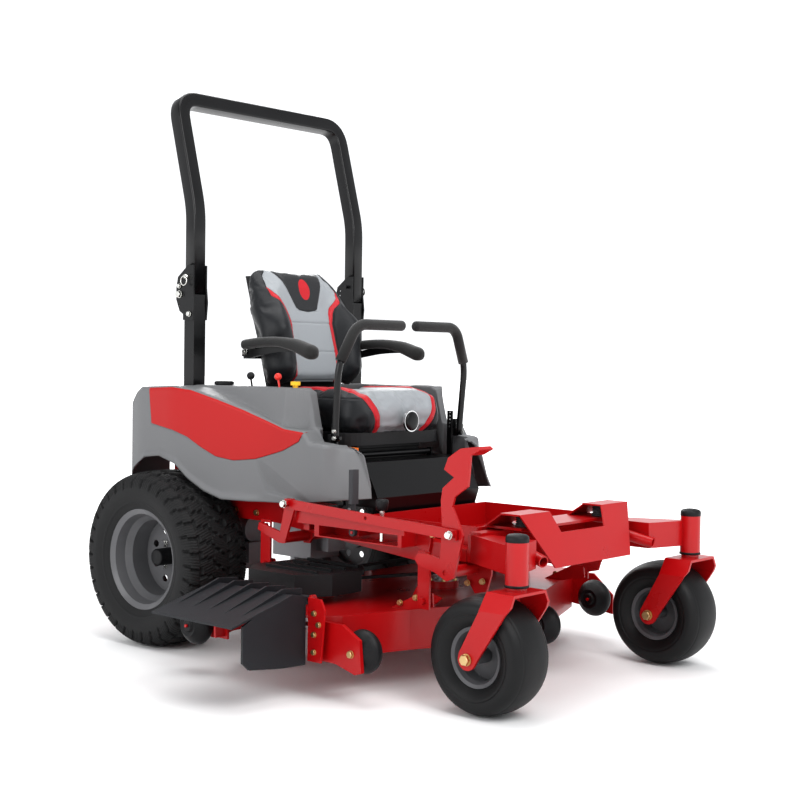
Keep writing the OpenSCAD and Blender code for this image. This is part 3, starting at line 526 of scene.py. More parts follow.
def block_height(turn, q):
    """How far the tread stands out, 0 to 1, at an angle (as a share of a turn) and a signed length from the crown."""
    pitches = 34
    rows = ((-126, 34, 0.0, 0.10), (-62, 27, 0.5, -0.16), (-6, 26, 0.15, 0.2), (56, 28, 0.65, -0.18),
            (122, 36, 0.3, 0.12))
    pitch_mm = 2 * math.pi * TYRE_R / pitches
    out = np.zeros(np.broadcast(turn, q).shape)
    for mid, half, phase, slant in rows:
        u = turn * pitches + phase
        zig = 7 * np.sign(np.sin(2 * math.pi * u)) * np.abs(np.sin(2 * math.pi * u)) ** 0.3
        lean = u + slant * (q - mid) / half + 0.08 * np.sign(q - mid)
        across = half - np.abs(q - mid - zig * (abs(mid) < 100))
        between = (0.5 - np.abs(lean % 1 - 0.5)) * pitch_mm - 4.0
        inner = np.minimum(across, between)
        block = smooth(-0.5, 2.4, inner)
        ribs = 0.22 * (1 - smooth(0.6, 2.0, np.abs((lean * pitch_mm) % 9.5 - 4.75)))
        out = np.maximum(out, block * (1 - ribs * smooth(3, 5, inner)))
    return out


def rear_tyre(name):
    w, r, q = tyre_line(84)
    w, r, q = (np.append(-w[:0:-1], w), np.append(r[:0:-1], r), np.append(-q[:0:-1], q))
    n = 760
    turn = np.arange(n)[:, None] / n
    rise = block_height(turn, q[None, :])
    fade = 1 - smooth(146, 160, np.abs(q))[None, :]
    depth = TREAD_DEPTH * fade * (1 - rise)
    side_rib = 1.6 * np.exp(-((np.abs(q) - 205) / 3.0) ** 2)[None, :]
    out_w, out_r = np.gradient(w), np.gradient(r)
    length = np.hypot(out_w, out_r)
    nw, nr = -out_r / length * 1.0, out_w / length
    nw, nr = np.where(nr * 1 + nw * np.sign(w) < 0, -nw, nw), np.where(nr + nw * np.sign(w) < 0, -nr, nr)
    ww = w[None, :] - nw[None, :] * (depth - side_rib)
    rr = r[None, :] - nr[None, :] * (depth - side_rib)
    a = 2 * math.pi * turn
    pts = np.stack([np.cos(a) * rr, ww + 0 * a, np.sin(a) * rr], -1) * MM + np.array(
        joint_at["wheel_%s_spin" % name])
    o = piece("rear_tyre_%s_tread" % name, pts, grid_faces(n, len(w), close_rows=True), rubber,
              "wheel_" + name, slot="tyre", replaces=("rear_tyre_" + name,))
    recalc(o)
    return o


for s, word in SIDES:
    rear_tyre(word)
    c = joint_at["wheel_%s_spin" % word]
    heads = []
    for k in range(4):
        a = math.radians(45 + 90 * k)
        heads.append((c + Vector((52 * math.cos(a), -s * 14, 52 * math.sin(a))) * MM * 1.0
                      + Vector((0, s * -12 * MM, 0)), (0, s, 0), 20))
    bolts("lug_nuts_" + word, heads, zinc, "wheel_" + word, "zinc")
    turned("hub_cap_" + word, [(0, s * 44), (22, s * 44), (27, s * 41.5), (28.5, s * 38), (28.5, s * -30),
                               (33, s * -33)], c, black_mould, "wheel_" + word, n=48, slot="black_plastic")

# ---- caster tyres ---------------------------------------------------------------------

def caster_tyre(word):
    w, bead = 162.0, 76.0
    line = []
    for k in range(-46, 47):
        a = math.radians(k * 2.0)
        line.append((118 + 47 * math.cos(a) ** 0.62 if abs(k) < 45 else 118, w / 2 * math.copysign(
            abs(math.sin(a)) ** 0.88, a)))
    low = [(bead + 3 + (118 - bead - 3) * t, w / 2 * (1 - 0.34 * (1 - t) ** 1.6)) for t in np.linspace(0.97, 0, 14)]
    line = [(rr, -yy) for rr, yy in reversed(low)] + line + low
    seam = []
    for rr, yy in line:
        groove = 0.9 * math.exp(-((abs(yy) - 52) / 1.8) ** 2) + 0.7 * math.exp(-((rr - 112) / 1.6) ** 2)
        seam.append((rr - groove, yy))
    c = joint_at["caster_wheel_%s_spin" % word]
    turned("caster_tyre_%s_tread" % word, seam, c, caster_rubber, "caster_wheel_" + word, n=160, slot="tyre",
           replaces=("caster_tyre_" + word,))


for _, word in SIDES:
    caster_tyre(word)

# ---- moulded fenders and their coloured side panels ------------------------------------

FENDER_PLAN = [(-205, 302), (-205, 450), (-185, 488), (-110, 510), (60, 514), (150, 505), (250, 484), (350, 455),
               (436, 425), (560, 405), (660, 388), (726, 366), (774, 302)]
INNER_TOP = [(-205, 742), (-196, 772), (-175, 812), (-140, 848), (-100, 864), (30, 868), (60, 872), (500, 872),
             (526, 860), (540, 800), (552, 750), (572, 737), (592, 704), (640, 700), (740, 684), (780, 660)]
RIDGE = [(-205, 742), (-196, 772), (-175, 812), (-140, 846), (-110, 862), (60, 870), (147, 862), (248, 835),
         (347, 803), (441, 766), (495, 747), (566, 739), (592, 704), (640, 700), (740, 684), (780, 660)]
LOW_EDGE = [(-205, 556), (-190, 552), (-158, 584), (-78, 625), (5, 633), (83, 612), (139, 568), (211, 528),
            (276, 506), (376, 505), (538, 508), (630, 520), (774, 535)]
PANEL_LOW = [(-58, 862), (-43, 739), (66, 722), (135, 702), (195, 669), (251, 643), (316, 633), (391, 641),
             (491, 672), (552, 703), (574, 738)]
SHOULDER_R = 14.0
SHELL = 4.0
CUP = (420, 346)


def rounded_plan(table, count):
    """Evenly spaced points of the plan outline with its corners rounded."""
    path = np.array([p[:2] for p in bent([(x, y, 0) for x, y in table], 30, 8)])
    d = np.append(0, np.cumsum(np.hypot(*np.diff(path, axis=0).T)))
    even = np.linspace(0, d[-1], count)
    return np.stack([np.interp(even, d, path[:, 0]), np.interp(even, d, path[:, 1])], -1)


def top_height(x, y):
    """Height of the fender's top surface: a console near the seat that drops to the outer ridge."""
    side_edge = 400 - 12 * smooth(40, 478, x) - 60 * np.clip((x - 478) / 50, 0, 1)
    t = smooth(side_edge, side_edge + 14, y)
    return along(INNER_TOP, x) * (1 - t) + along(RIDGE, x) * t


def wall_push(x, z, low):
    """How far the outer wall swells outwards, in mm, at the lip of the wheel arch."""
    return 7 * np.exp(-((z - low - 6) / 11.0) ** 2) * smooth(-120, -60, x) * (1 - smooth(380, 425, x))


def scoop(x, z):
    """Depth of the shallow scoop in the wall, 0 to 1: sharp behind and below, fading up and forwards."""
    back = 408 + (597 - z) * 0.41
    bottom = 536 - (x - 433) * 0.16
    fade = np.clip(1 - (z - bottom) / 90 - (x - 433) / 190, 0, 1)
    return smooth(back, back + 5, x) * smooth(bottom, bottom + 5, z) * np.minimum(fade * 1.5, 1)


def leaned(pts):
    """Leans the front face back as it rises, square to its own angle in plan."""
    back = 0.404 * np.clip(pts[..., 2] - 535, 0, None) * smooth(640, 735, pts[..., 0])
    pts[..., 0] -= 0.8 * back
    pts[..., 1] = np.maximum(pts[..., 1] - 0.6 * back, 296)
    return pts


def panel_line(x):
    return along(PANEL_LOW, x)


PLAN = rounded_plan(FENDER_PLAN, 300)


def fender(s, word):
    spine_x = np.clip(PLAN[:, 0], -120, 715)
    pocket = smooth(556, 572, spine_x) * (1 - smooth(655, 675, spine_x))
    spine = np.stack([spine_x, 300 + 28 * pocket], -1)
    reach = PLAN - spine
    length = np.hypot(*reach.T)[:, None]
    unit = reach / np.maximum(length, 1e-6)
    rim = PLAN - unit * SHOULDER_R
    low = along(LOW_EDGE, PLAN[:, 0])
    cols = []
    for drop in (120, 60, 8):
        cols.append(np.column_stack([spine, top_height(*spine.T) - drop]))
    for t in np.linspace(0, 1, 34):
        p = spine + (rim - spine) * t
        cols.append(np.column_stack([p, top_height(*p.T) - (2 if t == 0 else 0)]))
    edge = top_height(*rim.T)
    for a in np.radians(np.linspace(10, 90, 9)):
        p = rim + unit * SHOULDER_R * math.sin(a)
        cols.append(np.column_stack([p, edge - SHOULDER_R * (1 - math.cos(a))]))
    top = edge - SHOULDER_R
    for t in np.linspace(0, 1, 60)[1:]:
        z = top + (low - top) * t
        inset = 3.2 * smooth(-3, 3, z - panel_line(PLAN[:, 0])) * smooth(-64, -58, PLAN[:, 0]) * (
            1 - smooth(570, 577, PLAN[:, 0]))
        push = wall_push(PLAN[:, 0], z, low) - inset - 9 * scoop(PLAN[:, 0], z)
        cols.append(np.column_stack([PLAN + unit * push[:, None], z]))
    cols.append(np.column_stack([PLAN - unit * 9, low + 2]))
    pts = leaned(np.stack(cols, 1))
    pts[..., 1] *= s
    o = piece("fender_%s_shell" % word, rows_at(pts), grid_faces(len(PLAN), len(cols)), grey_shell, "chassis",
              slot="fender_grey", replaces=("fender_" + word,))
    recalc(o)
    apply(o, "SOLIDIFY", thickness=SHELL * MM, offset=-1.0)
    if s == LEFT:
        drill(o, [(0, 780), (38.5, 780), (38.5, 900), (0, 900)], Vector(at(*CUP, 0)))
    return o


def side_panel(s, word):
    """The coloured panel in the fender's side, with rolled edges."""
    xs = np.concatenate([np.linspace(-57, -42, 14), np.linspace(-36, 552, 110), np.linspace(555, 571, 8)])
    outer = PLAN[(PLAN[:, 0] > -150) & (PLAN[:, 0] < 640)]
    y_out = np.interp(xs, *outer.T)
    cols = []
    lows = panel_line(xs) + 1.5
    tops = np.maximum(along(RIDGE, xs) - 5, lows + 0.5)
    rows = np.linspace(0, 1, 40)
    thick = 3.0
    for k, t in enumerate([0, 0, 0.006, *rows[1:-1], 0.994, 1, 1]):
        z = lows + (tops - lows) * t
        shoulder = along(RIDGE, xs) - SHOULDER_R
        above = np.clip(z - shoulder, 0, SHOULDER_R * 0.999)
        y = y_out - SHOULDER_R + np.sqrt(SHOULDER_R ** 2 - above ** 2)
        out = {0: -3.0, 1: 0.3, 42: 0.3, 43: -3.0}.get(k, 1.2)
        if t in (0, 1) and k not in (1, 42):
            out = -thick
        cols.append(np.column_stack([xs, y + out, z]))
    pts = np.stack(cols, 1)
    pts[0, :, 1] -= thick
    pts[-1, :, 1] -= thick
    pts[..., 1] *= s
    o = piece("side_panel_" + word, rows_at(pts), grid_faces(len(xs), len(cols)), red_shell, "chassis",
              slot="panel_red")
    recalc(o)
    return o


for s, word in SIDES:
    shell = fender(s, word)
    side_panel(s, word)
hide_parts("side_panels")

# ---- seat -----------------------------------------------------------------------------

SEAT_FACE = [(860, 226), (900, 222), (980, 207), (1090, 181), (1140, 160), (1208, 143), (1262, 118), (1290, 92)]
SEAT_REAR = [(860, 196), (940, 172), (1010, 140), (1120, 104), (1200, 78), (1262, 64), (1290, 76)]
SEAT_HALF = [(860, 196), (890, 214), (930, 224), (1120, 224), (1180, 215), (1230, 200), (1262, 184), (1290, 150)]


def closed_grid(name, pts):
    """A closed surface from a grid of points whose rows are rings."""
    rows, cols = pts.shape[:2]
    faces = grid_faces(rows, cols, close_cols=True)
    faces += [tuple(range(cols)), tuple((rows - 1) * cols + k for k in reversed(range(cols)))]
    mesh = bpy.data.meshes.new(name)
    mesh.from_pydata([tuple(v) for v in rows_at(pts).reshape(-1, 3)], [], faces)
    o = bpy.data.objects.new(name, mesh)
    bpy.context.scene.collection.objects.link(o)
    recalc(o)
    return o


def seat_back_form():
    """Deep centre, side bolsters that swell forward and a thinner head end."""
    rings = []
    for z in np.linspace(866, 1280, 40):
        half = along(SEAT_HALF, z)
        face, rear = along(SEAT_FACE, z), along(SEAT_REAR, z)
        end = 1 - 0.30 * smooth(1240, 1282, z) - 0.10 * (1 - smooth(866, 900, z))
        ring = []
        for t in np.linspace(-1, 1, 41):
            y = half * t
            wing = 66 * smooth(96, 160, abs(y)) * (1 - smooth(1060, 1230, z)) * smooth(840, 940, z)
            wing += 22 * smooth(120, 185, abs(y)) * smooth(1000, 1080, z) * (1 - smooth(1200, 1275, z))
            edge = math.sqrt(max(0.0, 1 - abs(t) ** 7))
            ring.append((rear + (face + wing - rear) * edge * end, y, z))
        for t in np.linspace(1, -1, 21)[1:-1]:
            y = half * t
            dish = 10 * math.cos(t * math.pi / 2)
            ring.append((rear - dish * 0.4, y, z))
        rings.append(ring)
    return closed_grid("seat_back_cover", np.array(rings))


def cushion_form():
    """Waterfall front, dished centre and raised side bolsters."""
    rings = []
    for x in np.linspace(268, 650, 40):
        front = smooth(560, 652, x)
        half = 232 - 52 * front ** 2.2 - 10 * (1 - smooth(266, 320, x))
        top_mid = 846 + 4 * smooth(300, 480, x) - 4 * front
        drop = 44 * smooth(618, 652, x) ** 2.2
        low = 736 + 3 * front
        ring = []
        for t in np.linspace(-1, 1, 37):
            bolster = 20 * smooth(0.55, 0.82, abs(t)) * (1 - 0.8 * smooth(500, 640, x))
            edge = max(0.0, 1 - abs(t) ** 9) ** 0.5
            ring.append((x, half * t, low + (top_mid + bolster - drop - low) * (0.30 + 0.70 * edge)))
        for t in np.linspace(1, -1, 19):
            ring.append((x, half * t * 0.985, low))
        rings.append(ring)
    return closed_grid("seat_cushion_cover", np.array(rings))


def puffed(o, voxel, cap, pressure):
    """Remeshes, swells by a short cloth simulation with no gravity and caps how far each point moves."""
    apply(o, "REMESH", mode="VOXEL", voxel_size=voxel)
    apply(o, "SMOOTH", factor=0.5, iterations=6)
    before = np.array([v.co for v in o.data.vertices])
    cloth = o.modifiers.new("cloth", "CLOTH")
    cs = cloth.settings
    cs.use_pressure = True
    cs.uniform_pressure_force = pressure
    cs.effector_weights.gravity = 0.0
    cs.mass = 0.35
    cs.tension_stiffness = 25
    cs.compression_stiffness = 25
    cs.bending_stiffness = 3
    cs.quality = 5
    scene = bpy.context.scene
    for f in range(1, 21):
        scene.frame_set(f)
    with bpy.context.temp_override(object=o, active_object=o, selected_objects=[o]):
        bpy.ops.object.modifier_apply(modifier=cloth.name)
    scene.frame_set(1)
    after = np.array([v.co for v in o.data.vertices])
    move = after - before
    size = np.linalg.norm(move, axis=1, keepdims=True)
    after = before + move * np.minimum(1, cap / np.maximum(size, 1e-9))
    o.data.vertices.foreach_set("co", after.ravel())
    apply(o, "SMOOTH", factor=0.5, iterations=3)
    apply(o, "SUBSURF", levels=1)
    o.data.polygons.foreach_set("use_smooth", [True] * len(o.data.polygons))
    return o


def pull(o, depth_of):
    """Moves each vertex along its normal by depth_of(x, |y|, z, normal) in mm; negative goes in."""
    mesh = o.data
    co = np.empty(len(mesh.vertices) * 3)
    no = np.empty(len(mesh.vertices) * 3)
    mesh.vertices.foreach_get("co", co)
    mesh.vertices.foreach_get("normal", no)
    co, no = co.reshape(-1, 3), no.reshape(-1, 3)
    x, y, z = (co[:, 0] - axle.x) / MM, np.abs(co[:, 1] - axle.y) / MM, co[:, 2] / MM
    d = depth_of(x, y, z, no)
    co = co + no * (d * MM)[:, None]
    mesh.vertices.foreach_set("co", co.ravel())
    mesh.update()


def groove(distance, width=2.6, depth=3.2):
    return -depth * np.exp(-(distance / width) ** 2)


def back_seams(x, y, z, no):
    centre = along([(a * 1000, b * 1000) for a, b in BACK_CENTRE], z)
    stripe = centre + along([(a * 1000, b * 1000) for a, b in BACK_STRIPE], z)
    patch = along([(a * 1000, b * 1000) for a, b in PATCH_EDGE], z)
    front = smooth(0.15, 0.4, no[:, 0])
    d = groove(y - centre) + groove(y - stripe) * (z < 1210)
    d += groove(y - patch, 2.4, 2.6) * (z > 1132) * (y < centre)
    d += groove(z - 1132, 2.4, 2.6) * (y < 52)
    for seam in BACK_SEAMS:
        d += groove(z - seam * 1000) * (y < centre)
    d += 1.6 * (z > 1134) * (y < patch - 3)
    return np.maximum(d, -4.0) * front


def cushion_seams(x, y, z, no):
    centre = along([(a * 1000, b * 1000) for a, b in CUSHION_CENTRE], z)
    d = groove(y - centre) + groove(y - centre - STRIPE_W * 1000)
    d = d * smooth(0.1, 0.35, np.maximum(no[:, 2], no[:, 0])) * (x > 300)
    rim = groove(z - 838, 2.4, 3.0) * (y > centre + 30) * (np.abs(no[:, 2]) < 0.75)
    return np.maximum(d + rim, -4.0)


seat_back = puffed(seat_back_form(), 0.006, 0.016, 4.0)
pull(seat_back, back_seams)
seat_back.data.materials.append(vinyl_back)
finish_piece(seat_back, "seat", ("seat_back",))
cushion = puffed(cushion_form(), 0.006, 0.014, 4.0)
pull(cushion, cushion_seams)
cushion.data.materials.append(vinyl_cushion)
finish_piece(cushion, "seat", ("seat_cushion",))

# ---- armrests -------------------------------------------------------------------------

def armrest(s, word):
    """A skinned foam pad: thick and rounded at the front, on a black steel arm."""
    rings = []
    for x in np.linspace(142, 490, 44):
        t = (x - 142) / 348
        top = 1026 + 14 * math.sin(math.pi * min(1, t * 1.1)) - 6 * t
        thick = 34 + 16 * smooth(0.45, 0.95, t)
        wide = 24 + 3 * smooth(0.3, 0.8, t)
        end = math.sqrt(max(0.0, 1 - ((x - 462) / 30) ** 2)) if x > 462 else 1.0
        end *= math.sqrt(max(0.02, 1 - ((150 - x) / 10) ** 2)) if x < 150 else 1.0
        mid = top - thick / 2 - 10 * smooth(0.7, 1.0, t)
        ring = []
        for a in np.linspace(0, 2 * math.pi, 24, endpoint=False):
            c, d = math.cos(a), math.sin(a)
            ring.append((x, 266 * s + wide * end * math.copysign(abs(c) ** 0.75, c),
                         mid + thick / 2 * end * math.copysign(abs(d) ** 0.8, d)))
        rings.append(ring)
    o = closed_grid("armrest_%s_pad" % word, np.array(rings))
    apply(o, "SUBSURF", levels=1)
    o.data.polygons.foreach_set("use_smooth", [True] * len(o.data.polygons))
    o.data.materials.append(foam)
    finish_piece(o, "arm_" + word, ("armrest_" + word,))
    bar = [at(132, s * 262, 985), at(165, s * 262, 978), at(300, s * 262, 1000), at(420, s * 262, 1004)]
    flat = [(-0.002, -0.014), (0.002, -0.014), (0.002, 0.012), (-0.002, 0.012)]
    tube("armrest_%s_bar" % word, bent(bar, 0.05), [(b, a) for a, b in flat], black_paint, "arm_" + word,
         slot="armrest_black", is_smooth=False)
    bolts("armrest_%s_bolts" % word, [(at(150, s * 268, 985), (0, s, 0), 16)], zinc, "arm_" + word, "zinc")


for s, word in SIDES:
    armrest(s, word)

# ---- steering levers ------------------------------------------------------------------

def lever(s, word):
    shaft = [at(x, s * y, z) for x, y, z in ((624, 310, 706), (624, 312, 750), (636, 317, 924), (640, 304, 975))]
    body = "drive_lever_" + word
    tube("control_lever_%s_tube" % word, bent(shaft, 0.04), round_section(11, 24), black_paint, body,
         slot="lever_black", replaces=("control_lever_" + word,))
    grip = [at(x, s * y, z) for x, y, z in ((638, 309, 960), (649, 258, 1058), (652, 226, 1078), (653, 38, 1078))]
    path = bent(grip, 0.045, 12)
    tip = [path[-1] + (path[-1] - path[-2]).normalized() * d * MM for d in (4, 8, 11)]
    rings = swept(path + tip, round_section(17.5, 32))
    centre = [sum(r, Vector()) / len(r) for r in rings[-3:]]
    for ring, c, share in zip(rings[-3:], centre, (0.96, 0.8, 0.5)):
        ring[:] = [c + (v - c) * share for v in ring]
    faces = grid_faces(len(rings), 32, close_cols=True)
    faces += [tuple(range(32)), tuple((len(rings) - 1) * 32 + k for k in reversed(range(32)))]
    o = piece("control_lever_%s_grip" % word, [v for r in rings for v in r], faces, foam, body, slot="lever_black")
    recalc(o)
    bolts("control_lever_%s_bolts" % word, [(at(626, s * 319.5, z), (0, s, 0), 12) for z in (716, 738)], zinc,
          body, "zinc")
    clamp = [at(612, s * 304, 704), at(614, s * 304, 762)]
    tube("control_lever_%s_clamp" % word, clamp, square_section(18, 3), black_paint, body, slot="lever_black")


for s, word in SIDES:
    lever(s, word)

# ---- roll bar hoop --------------------------------------------------------------------

hoop_lo, hoop_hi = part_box("rops_hoop")
half_y = (hoop_hi.y - hoop_lo.y) / 2 / MM - 25
lean = math.tan(math.radians(15))
top_z = 1846
side_x = 31


def hoop_point(y, z):
    return at(side_x - max(0, z - 1464) * lean, y, z)


hoop_path = [hoop_point(-half_y, 1180), hoop_point(-half_y, 1464), hoop_point(-half_y, top_z), hoop_point(half_y, top_z),
             hoop_point(half_y, 1464), hoop_point(half_y, 1180)]
path = bent(hoop_path[:3], 0.05, 8)[:-1]
corner = bent(hoop_path[1:5], 0.075, 12)[1:-1]
tube("roll_bar_hoop", path + corner + bent(hoop_path[3:], 0.05, 8)[1:], square_section(50, 6), black_paint,
     "roll_bar", slot="black_frame", replaces=("rops_hoop",))
for s, word in SIDES:
    lug = [at(-24, s * half_y, 1184), at(10, s * half_y, 1184)]
    tube("roll_bar_lug_" + word, lug, [(a * 0.9, b * 0.5) for a, b in square_section(50, 6)], black_paint, "roll_bar",
         slot="black_frame")

for s, word in SIDES:
    out = s * (half_y + 49)
    tube("lock_pin_" + word, [at(31, s * (half_y + 26), 1236.0), at(31, out, 1236.0)], round_section(7.2), zinc,
         "chassis", slot="zinc")
    loop = [at(31 + 15 * math.sin(a), out + s * 1.5, 1221 + 15 * math.cos(a)) for a in np.linspace(0, 2 * math.pi, 49)]
    tube("lock_ring_" + word, loop, round_section(1.9), zinc, "chassis", slot="zinc")
    bolts("pivot_bolts_" + word, [(at(-11, s * (half_y + 33), 1177), (0, s, 0), 21),
                                  (at(40, s * (half_y + 33), 1110), (0, s, 0), 15),
                                  (at(-12, s * (half_y + 33), 1205), (0, s, 0), 13)], zinc, "chassis", "zinc")

# ---- finishes of the CAD nodes that stay ----------------------------------------------

FINISH = {
    red_paint: ("main_rails", "rear_frame", "front_frame", "foot_pan", "foot_plate", "caster_fork_right",
                "caster_fork_left", "deck_shell", "lift_links", "front_lift_crank", "rear_lift_crank", "lift_rod"),
    black_paint: ("rops_posts", "seat_box", "seat_base", "control_mount_right", "control_mount_left"),
    black_mould: ("belt_covers", "fuel_cap", "throttle_lever", "seat_pan", "engine_cover",
                  "roller_right", "roller_left", "roller_centre", "rollers_rear"),
    chute_mould: ("discharge_chute",),
    cast_metal: ("engine_block", "transaxles"),
    muffler_steel: ("muffler",),
    steel: ("pto_pulley", "spindle_right", "spindle_centre", "spindle_left"),
    rim_paint: ("rear_rim_right", "rear_rim_left"),
    caster_rim_paint: ("caster_rim_right", "caster_rim_left"),
    rubber: ("deck_belt",),
    zinc: ("height_pin",),
    red_knob: ("choke_lever",),
    yellow_knob: ("pto_switch",),
    orange_tab: ("seat_latch",),
    chrome: ("seat_knob",),
    boot_rubber: ("foot_boots", "parking_brake"),
}
for finish, names in FINISH.items():
    for n in names:
        mesh = nodes[n].data
        mesh.materials.clear()
        mesh.materials.append(finish)

# ---- rubber bellows under the raised corners of the foot plate ------------------------

for s, word in SIDES:
    foot = Vector(at(1284, s * 200, 0))
    fold = [(12, 489), (27, 489), (27, 492)]
    for k in range(5):
        z = 493 + k * 6
        fold += [(21, z), (24.5, z + 1.5), (26, z + 3), (24.5, z + 4.5)]
    fold += [(20, 524), (12, 525)]
    turned("foot_boot_" + word, fold, foot, boot_rubber, "chassis", axis="Z", n=64, slot="boot_rubber",
           replaces=("foot_boots",) if s < 0 else ())

# ---- caps, nuts and bolts -------------------------------------------------------------

fork_nuts = {"right": [], "left": []}
for s, word in SIDES:
    axle_at = joint_at["caster_wheel_%s_spin" % word]
    for d in (-1, 1):
        fork_nuts[word].append((axle_at + Vector((0, d * 99.5, 0)) * MM, (0, d, 0), 27))
    bolts("fork_nuts_" + word, fork_nuts[word], gold_zinc, "caster_" + word, "zinc")
    top = Vector((joint_at["caster_%s_swivel" % word].x, joint_at["caster_%s_swivel" % word].y, 0))
    turned("pivot_cap_" + word, [(0, 506), (14, 505.5), (26, 503), (31, 499), (32.4, 494), (32.4, 484), (31.9, 483)],
           top, black_mould, "chassis", axis="Z", n=64, slot="black_plastic")
    turned("pivot_seal_" + word, [(31.5, 360.5), (33.4, 361), (33.6, 366), (32.2, 368)], top, black_mould, "chassis",
           axis="Z", n=64, slot="black_plastic")

rod_heads = [(at(1214, -460, 478), (0, -1, 0), 20), (at(547, -460, 512), (0, -1, 0), 20)]
bolts("lift_rod_nuts", rod_heads, zinc, "rod", "zinc")
deck_heads = [(at(x, -702, z), (0, -1, 0), 14) for x, z in ((926, 250), (926, 190), (926, 140), (944, 220))]
deck_heads += [(at(1045, -676, 148), (0, -1, 0), 18), (at(1012, 639, 148), (0, 1, 0), 18)]
for s in (RIGHT, LEFT):
    deck_heads += [(at(980, s * 396, 250), (0, s, 0), 15), (at(1040, s * 396, 272), (0, s, 0), 15)]
for x, y in ((650, -410), (812, 0), (650, 410)):
    for k in range(6):
        a = math.radians(60 * k + 15)
        deck_heads.append((at(x + 46 * math.cos(a), y + 46 * math.sin(a), 256), (0, 0, 1), 13))
bolts("deck_bolts", deck_heads, gold_zinc, "deck", "zinc")
frame_heads = []
for s in (RIGHT, LEFT):
    frame_heads += [(at(x, s * 344.5, 455), (0, s, 0), 17) for x in (200, 300, 700, 800, 1060)]
    frame_heads += [(at(x, s * 304.5, z), (0, s, 0), 15) for x, z in ((1160, 320), (1215, 330))]
    frame_heads += [(at(x, s * 262.5, z), (0, s, 0), 13) for x in (594, 606) for z in (520, 560)]
bolts("frame_bolts", frame_heads, gold_zinc, "chassis", "zinc")

# ---- dark boxes between the seat and its hinged base: painted shade filling that gap ----

for word, body, low, high, half, slot_name in (("lower", "seat_tilt_base", 655, 673, 150, "black_frame"),
                                              ("upper", "seat", 671, 687, 158, "black_plastic")):
    # Solid black boxes that stand in for the shade in the gap under the seat.
    ring = [at(x, y, low) for x, y in ((250, -half), (572, -half), (572, half), (250, half))]
    ring += [v + Vector((0, 0, (high - low) * MM)) for v in ring]
    piece("seat_gap_shade_" + word, ring, [(0, 1, 2, 3), (7, 6, 5, 4), (0, 4, 5, 1), (1, 5, 6, 2), (2, 6, 7, 3),
                                         (3, 7, 4, 0)], black_mould, body, slot=slot_name, is_smooth=False)

# ---- cup liner, height knob and knob face ----------------------------------------------------

turned("cup_liner", [(0, 803), (34, 803), (37.6, 807), (38.2, 868), (39.5, 872.6), (42, 873.4), (43.5, 872.2)],
       Vector(at(*CUP, 0)), black_mould, "chassis", axis="Z", n=64, slot="black_plastic")
turned("height_knob", [(6, 516), (15, 516.5), (17.3, 519), (20, 543), (18.5, 549), (13, 551), (0, 551.5)],
       Vector(at(901, -395, 0)), black_mould, "height_stop", axis="Z", n=48, slot="black_plastic")
knob_at = joint_at["weight_knob_turn"]
turned("knob_face", [(0, 680), (16, 679.6), (27, 677.8), (31, 675), (31.5, 672)], Vector((axle.x, knob_at.y, knob_at.z)),
       black_gloss, "weight_knob", axis="X", n=64, slot="black_plastic")

# ---- camera, light and floor ----------------------------------------------------------

cam = bpy.data.objects.new("camera", bpy.data.cameras.new("camera"))
bpy.context.scene.collection.objects.link(cam)
cam.data.sensor_width = 36.0
cam.data.lens = 62.95
cam.data.clip_end = 60
cam_yaw, cam_pitch, cam_roll = (math.radians(a) for a in (131.294, -1.865, 0.8315))
forward = Vector((math.cos(cam_yaw) * math.cos(cam_pitch), math.sin(cam_yaw) * math.cos(cam_pitch),
                  math.sin(cam_pitch)))
right = forward.cross(Vector((0, 0, 1))).normalized()
over = right.cross(forward)
turned_right = right * math.cos(cam_roll) + over * math.sin(cam_roll)
turned_over = over * math.cos(cam_roll) - right * math.sin(cam_roll)
cam.matrix_world = Matrix.Translation(at(3690.1, -3496.4, 983.8)) @ Matrix(
    (turned_right, turned_over, -forward)).transposed().to_4x4()
bpy.context.scene.camera = cam
bpy.context.scene.view_settings.view_transform = "Standard"
bpy.context.scene.view_settings.look = "Medium High Contrast"

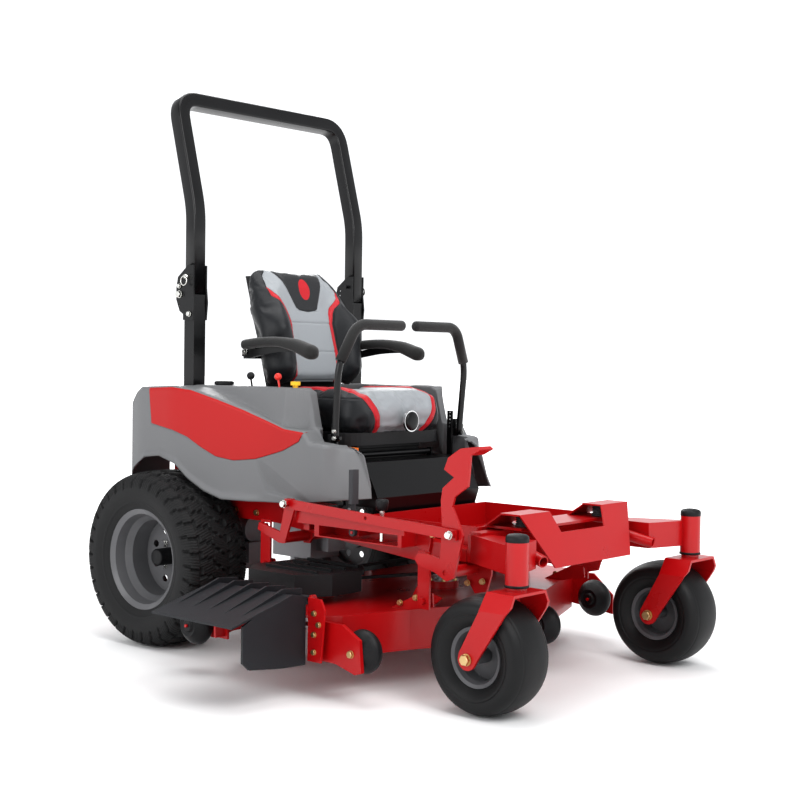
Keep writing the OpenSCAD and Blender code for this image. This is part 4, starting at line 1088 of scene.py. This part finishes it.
floor = bpy.data.objects.new("floor", bpy.data.meshes.new("floor"))
bpy.context.scene.collection.objects.link(floor)
bm = bmesh.new()
bmesh.ops.create_grid(bm, x_segments=1, y_segments=1, size=40)
bm.to_mesh(floor.data)
bm.free()
floor_mat = bpy.data.materials.new("floor")
floor_mat.use_nodes = True
floor_shader = floor_mat.node_tree.nodes["Principled BSDF"]
floor_shader.inputs["Base Color"].default_value = (0.9, 0.9, 0.9, 1)
floor_shader.inputs["Roughness"].default_value = 0.7
floor_shader.inputs["Emission Color"].default_value = (1, 1, 1, 1)
ground = floor_mat.node_tree
reach = ground.nodes.new("ShaderNodeVectorMath")
reach.operation = "LENGTH"
ground.links.new(ground.nodes.new("ShaderNodeTexCoord").outputs["Object"], reach.inputs[0])
glow = ground.nodes.new("ShaderNodeMapRange")
for k, v in enumerate((1.6, 5.0, 0.0, 1.0), 1):
    glow.inputs[k].default_value = v
ground.links.new(reach.outputs["Value"], glow.inputs[0])
ground.links.new(glow.outputs[0], floor_shader.inputs["Emission Strength"])
floor.data.materials.append(floor_mat)

world = bpy.data.worlds.new("studio")
bpy.context.scene.world = world
world.use_nodes = True
world.node_tree.nodes["Background"].inputs[0].default_value = (0.97, 0.98, 1.0, 1)
sky = world.node_tree
up = sky.nodes.new("ShaderNodeSeparateXYZ")
sky.links.new(sky.nodes.new("ShaderNodeTexCoord").outputs["Generated"], up.inputs[0])
fade = sky.nodes.new("ShaderNodeMapRange")
for k, v in enumerate((0.22, 0.6, 1.02, 0.45), 1):
    fade.inputs[k].default_value = v
sky.links.new(up.outputs[2], fade.inputs[0])
sky.links.new(fade.outputs[0], sky.nodes["Background"].inputs[1])


def lamp(name, place, target, size, power):
    data = bpy.data.lights.new(name, "AREA")
    data.shape = "RECTANGLE"
    data.size, data.size_y = size
    data.energy = power
    o = bpy.data.objects.new(name, data)
    bpy.context.scene.collection.objects.link(o)
    o.location = place
    o.rotation_euler = (Vector(target) - Vector(place)).to_track_quat("-Z", "Y").to_euler()


middle = (0, 0, 0.7)
lamp("key", (3.5, -0.8, 3.6), middle, (2.4, 2.4), 105)
lamp("side", (-0.5, -4.2, 2.2), middle, (3.0, 2.0), 60)
lamp("top", (-0.3, 0.2, 4.2), middle, (3.5, 3.5), 95)
lamp("back", (-3.2, 2.6, 2.8), middle, (2.0, 2.0), 60)
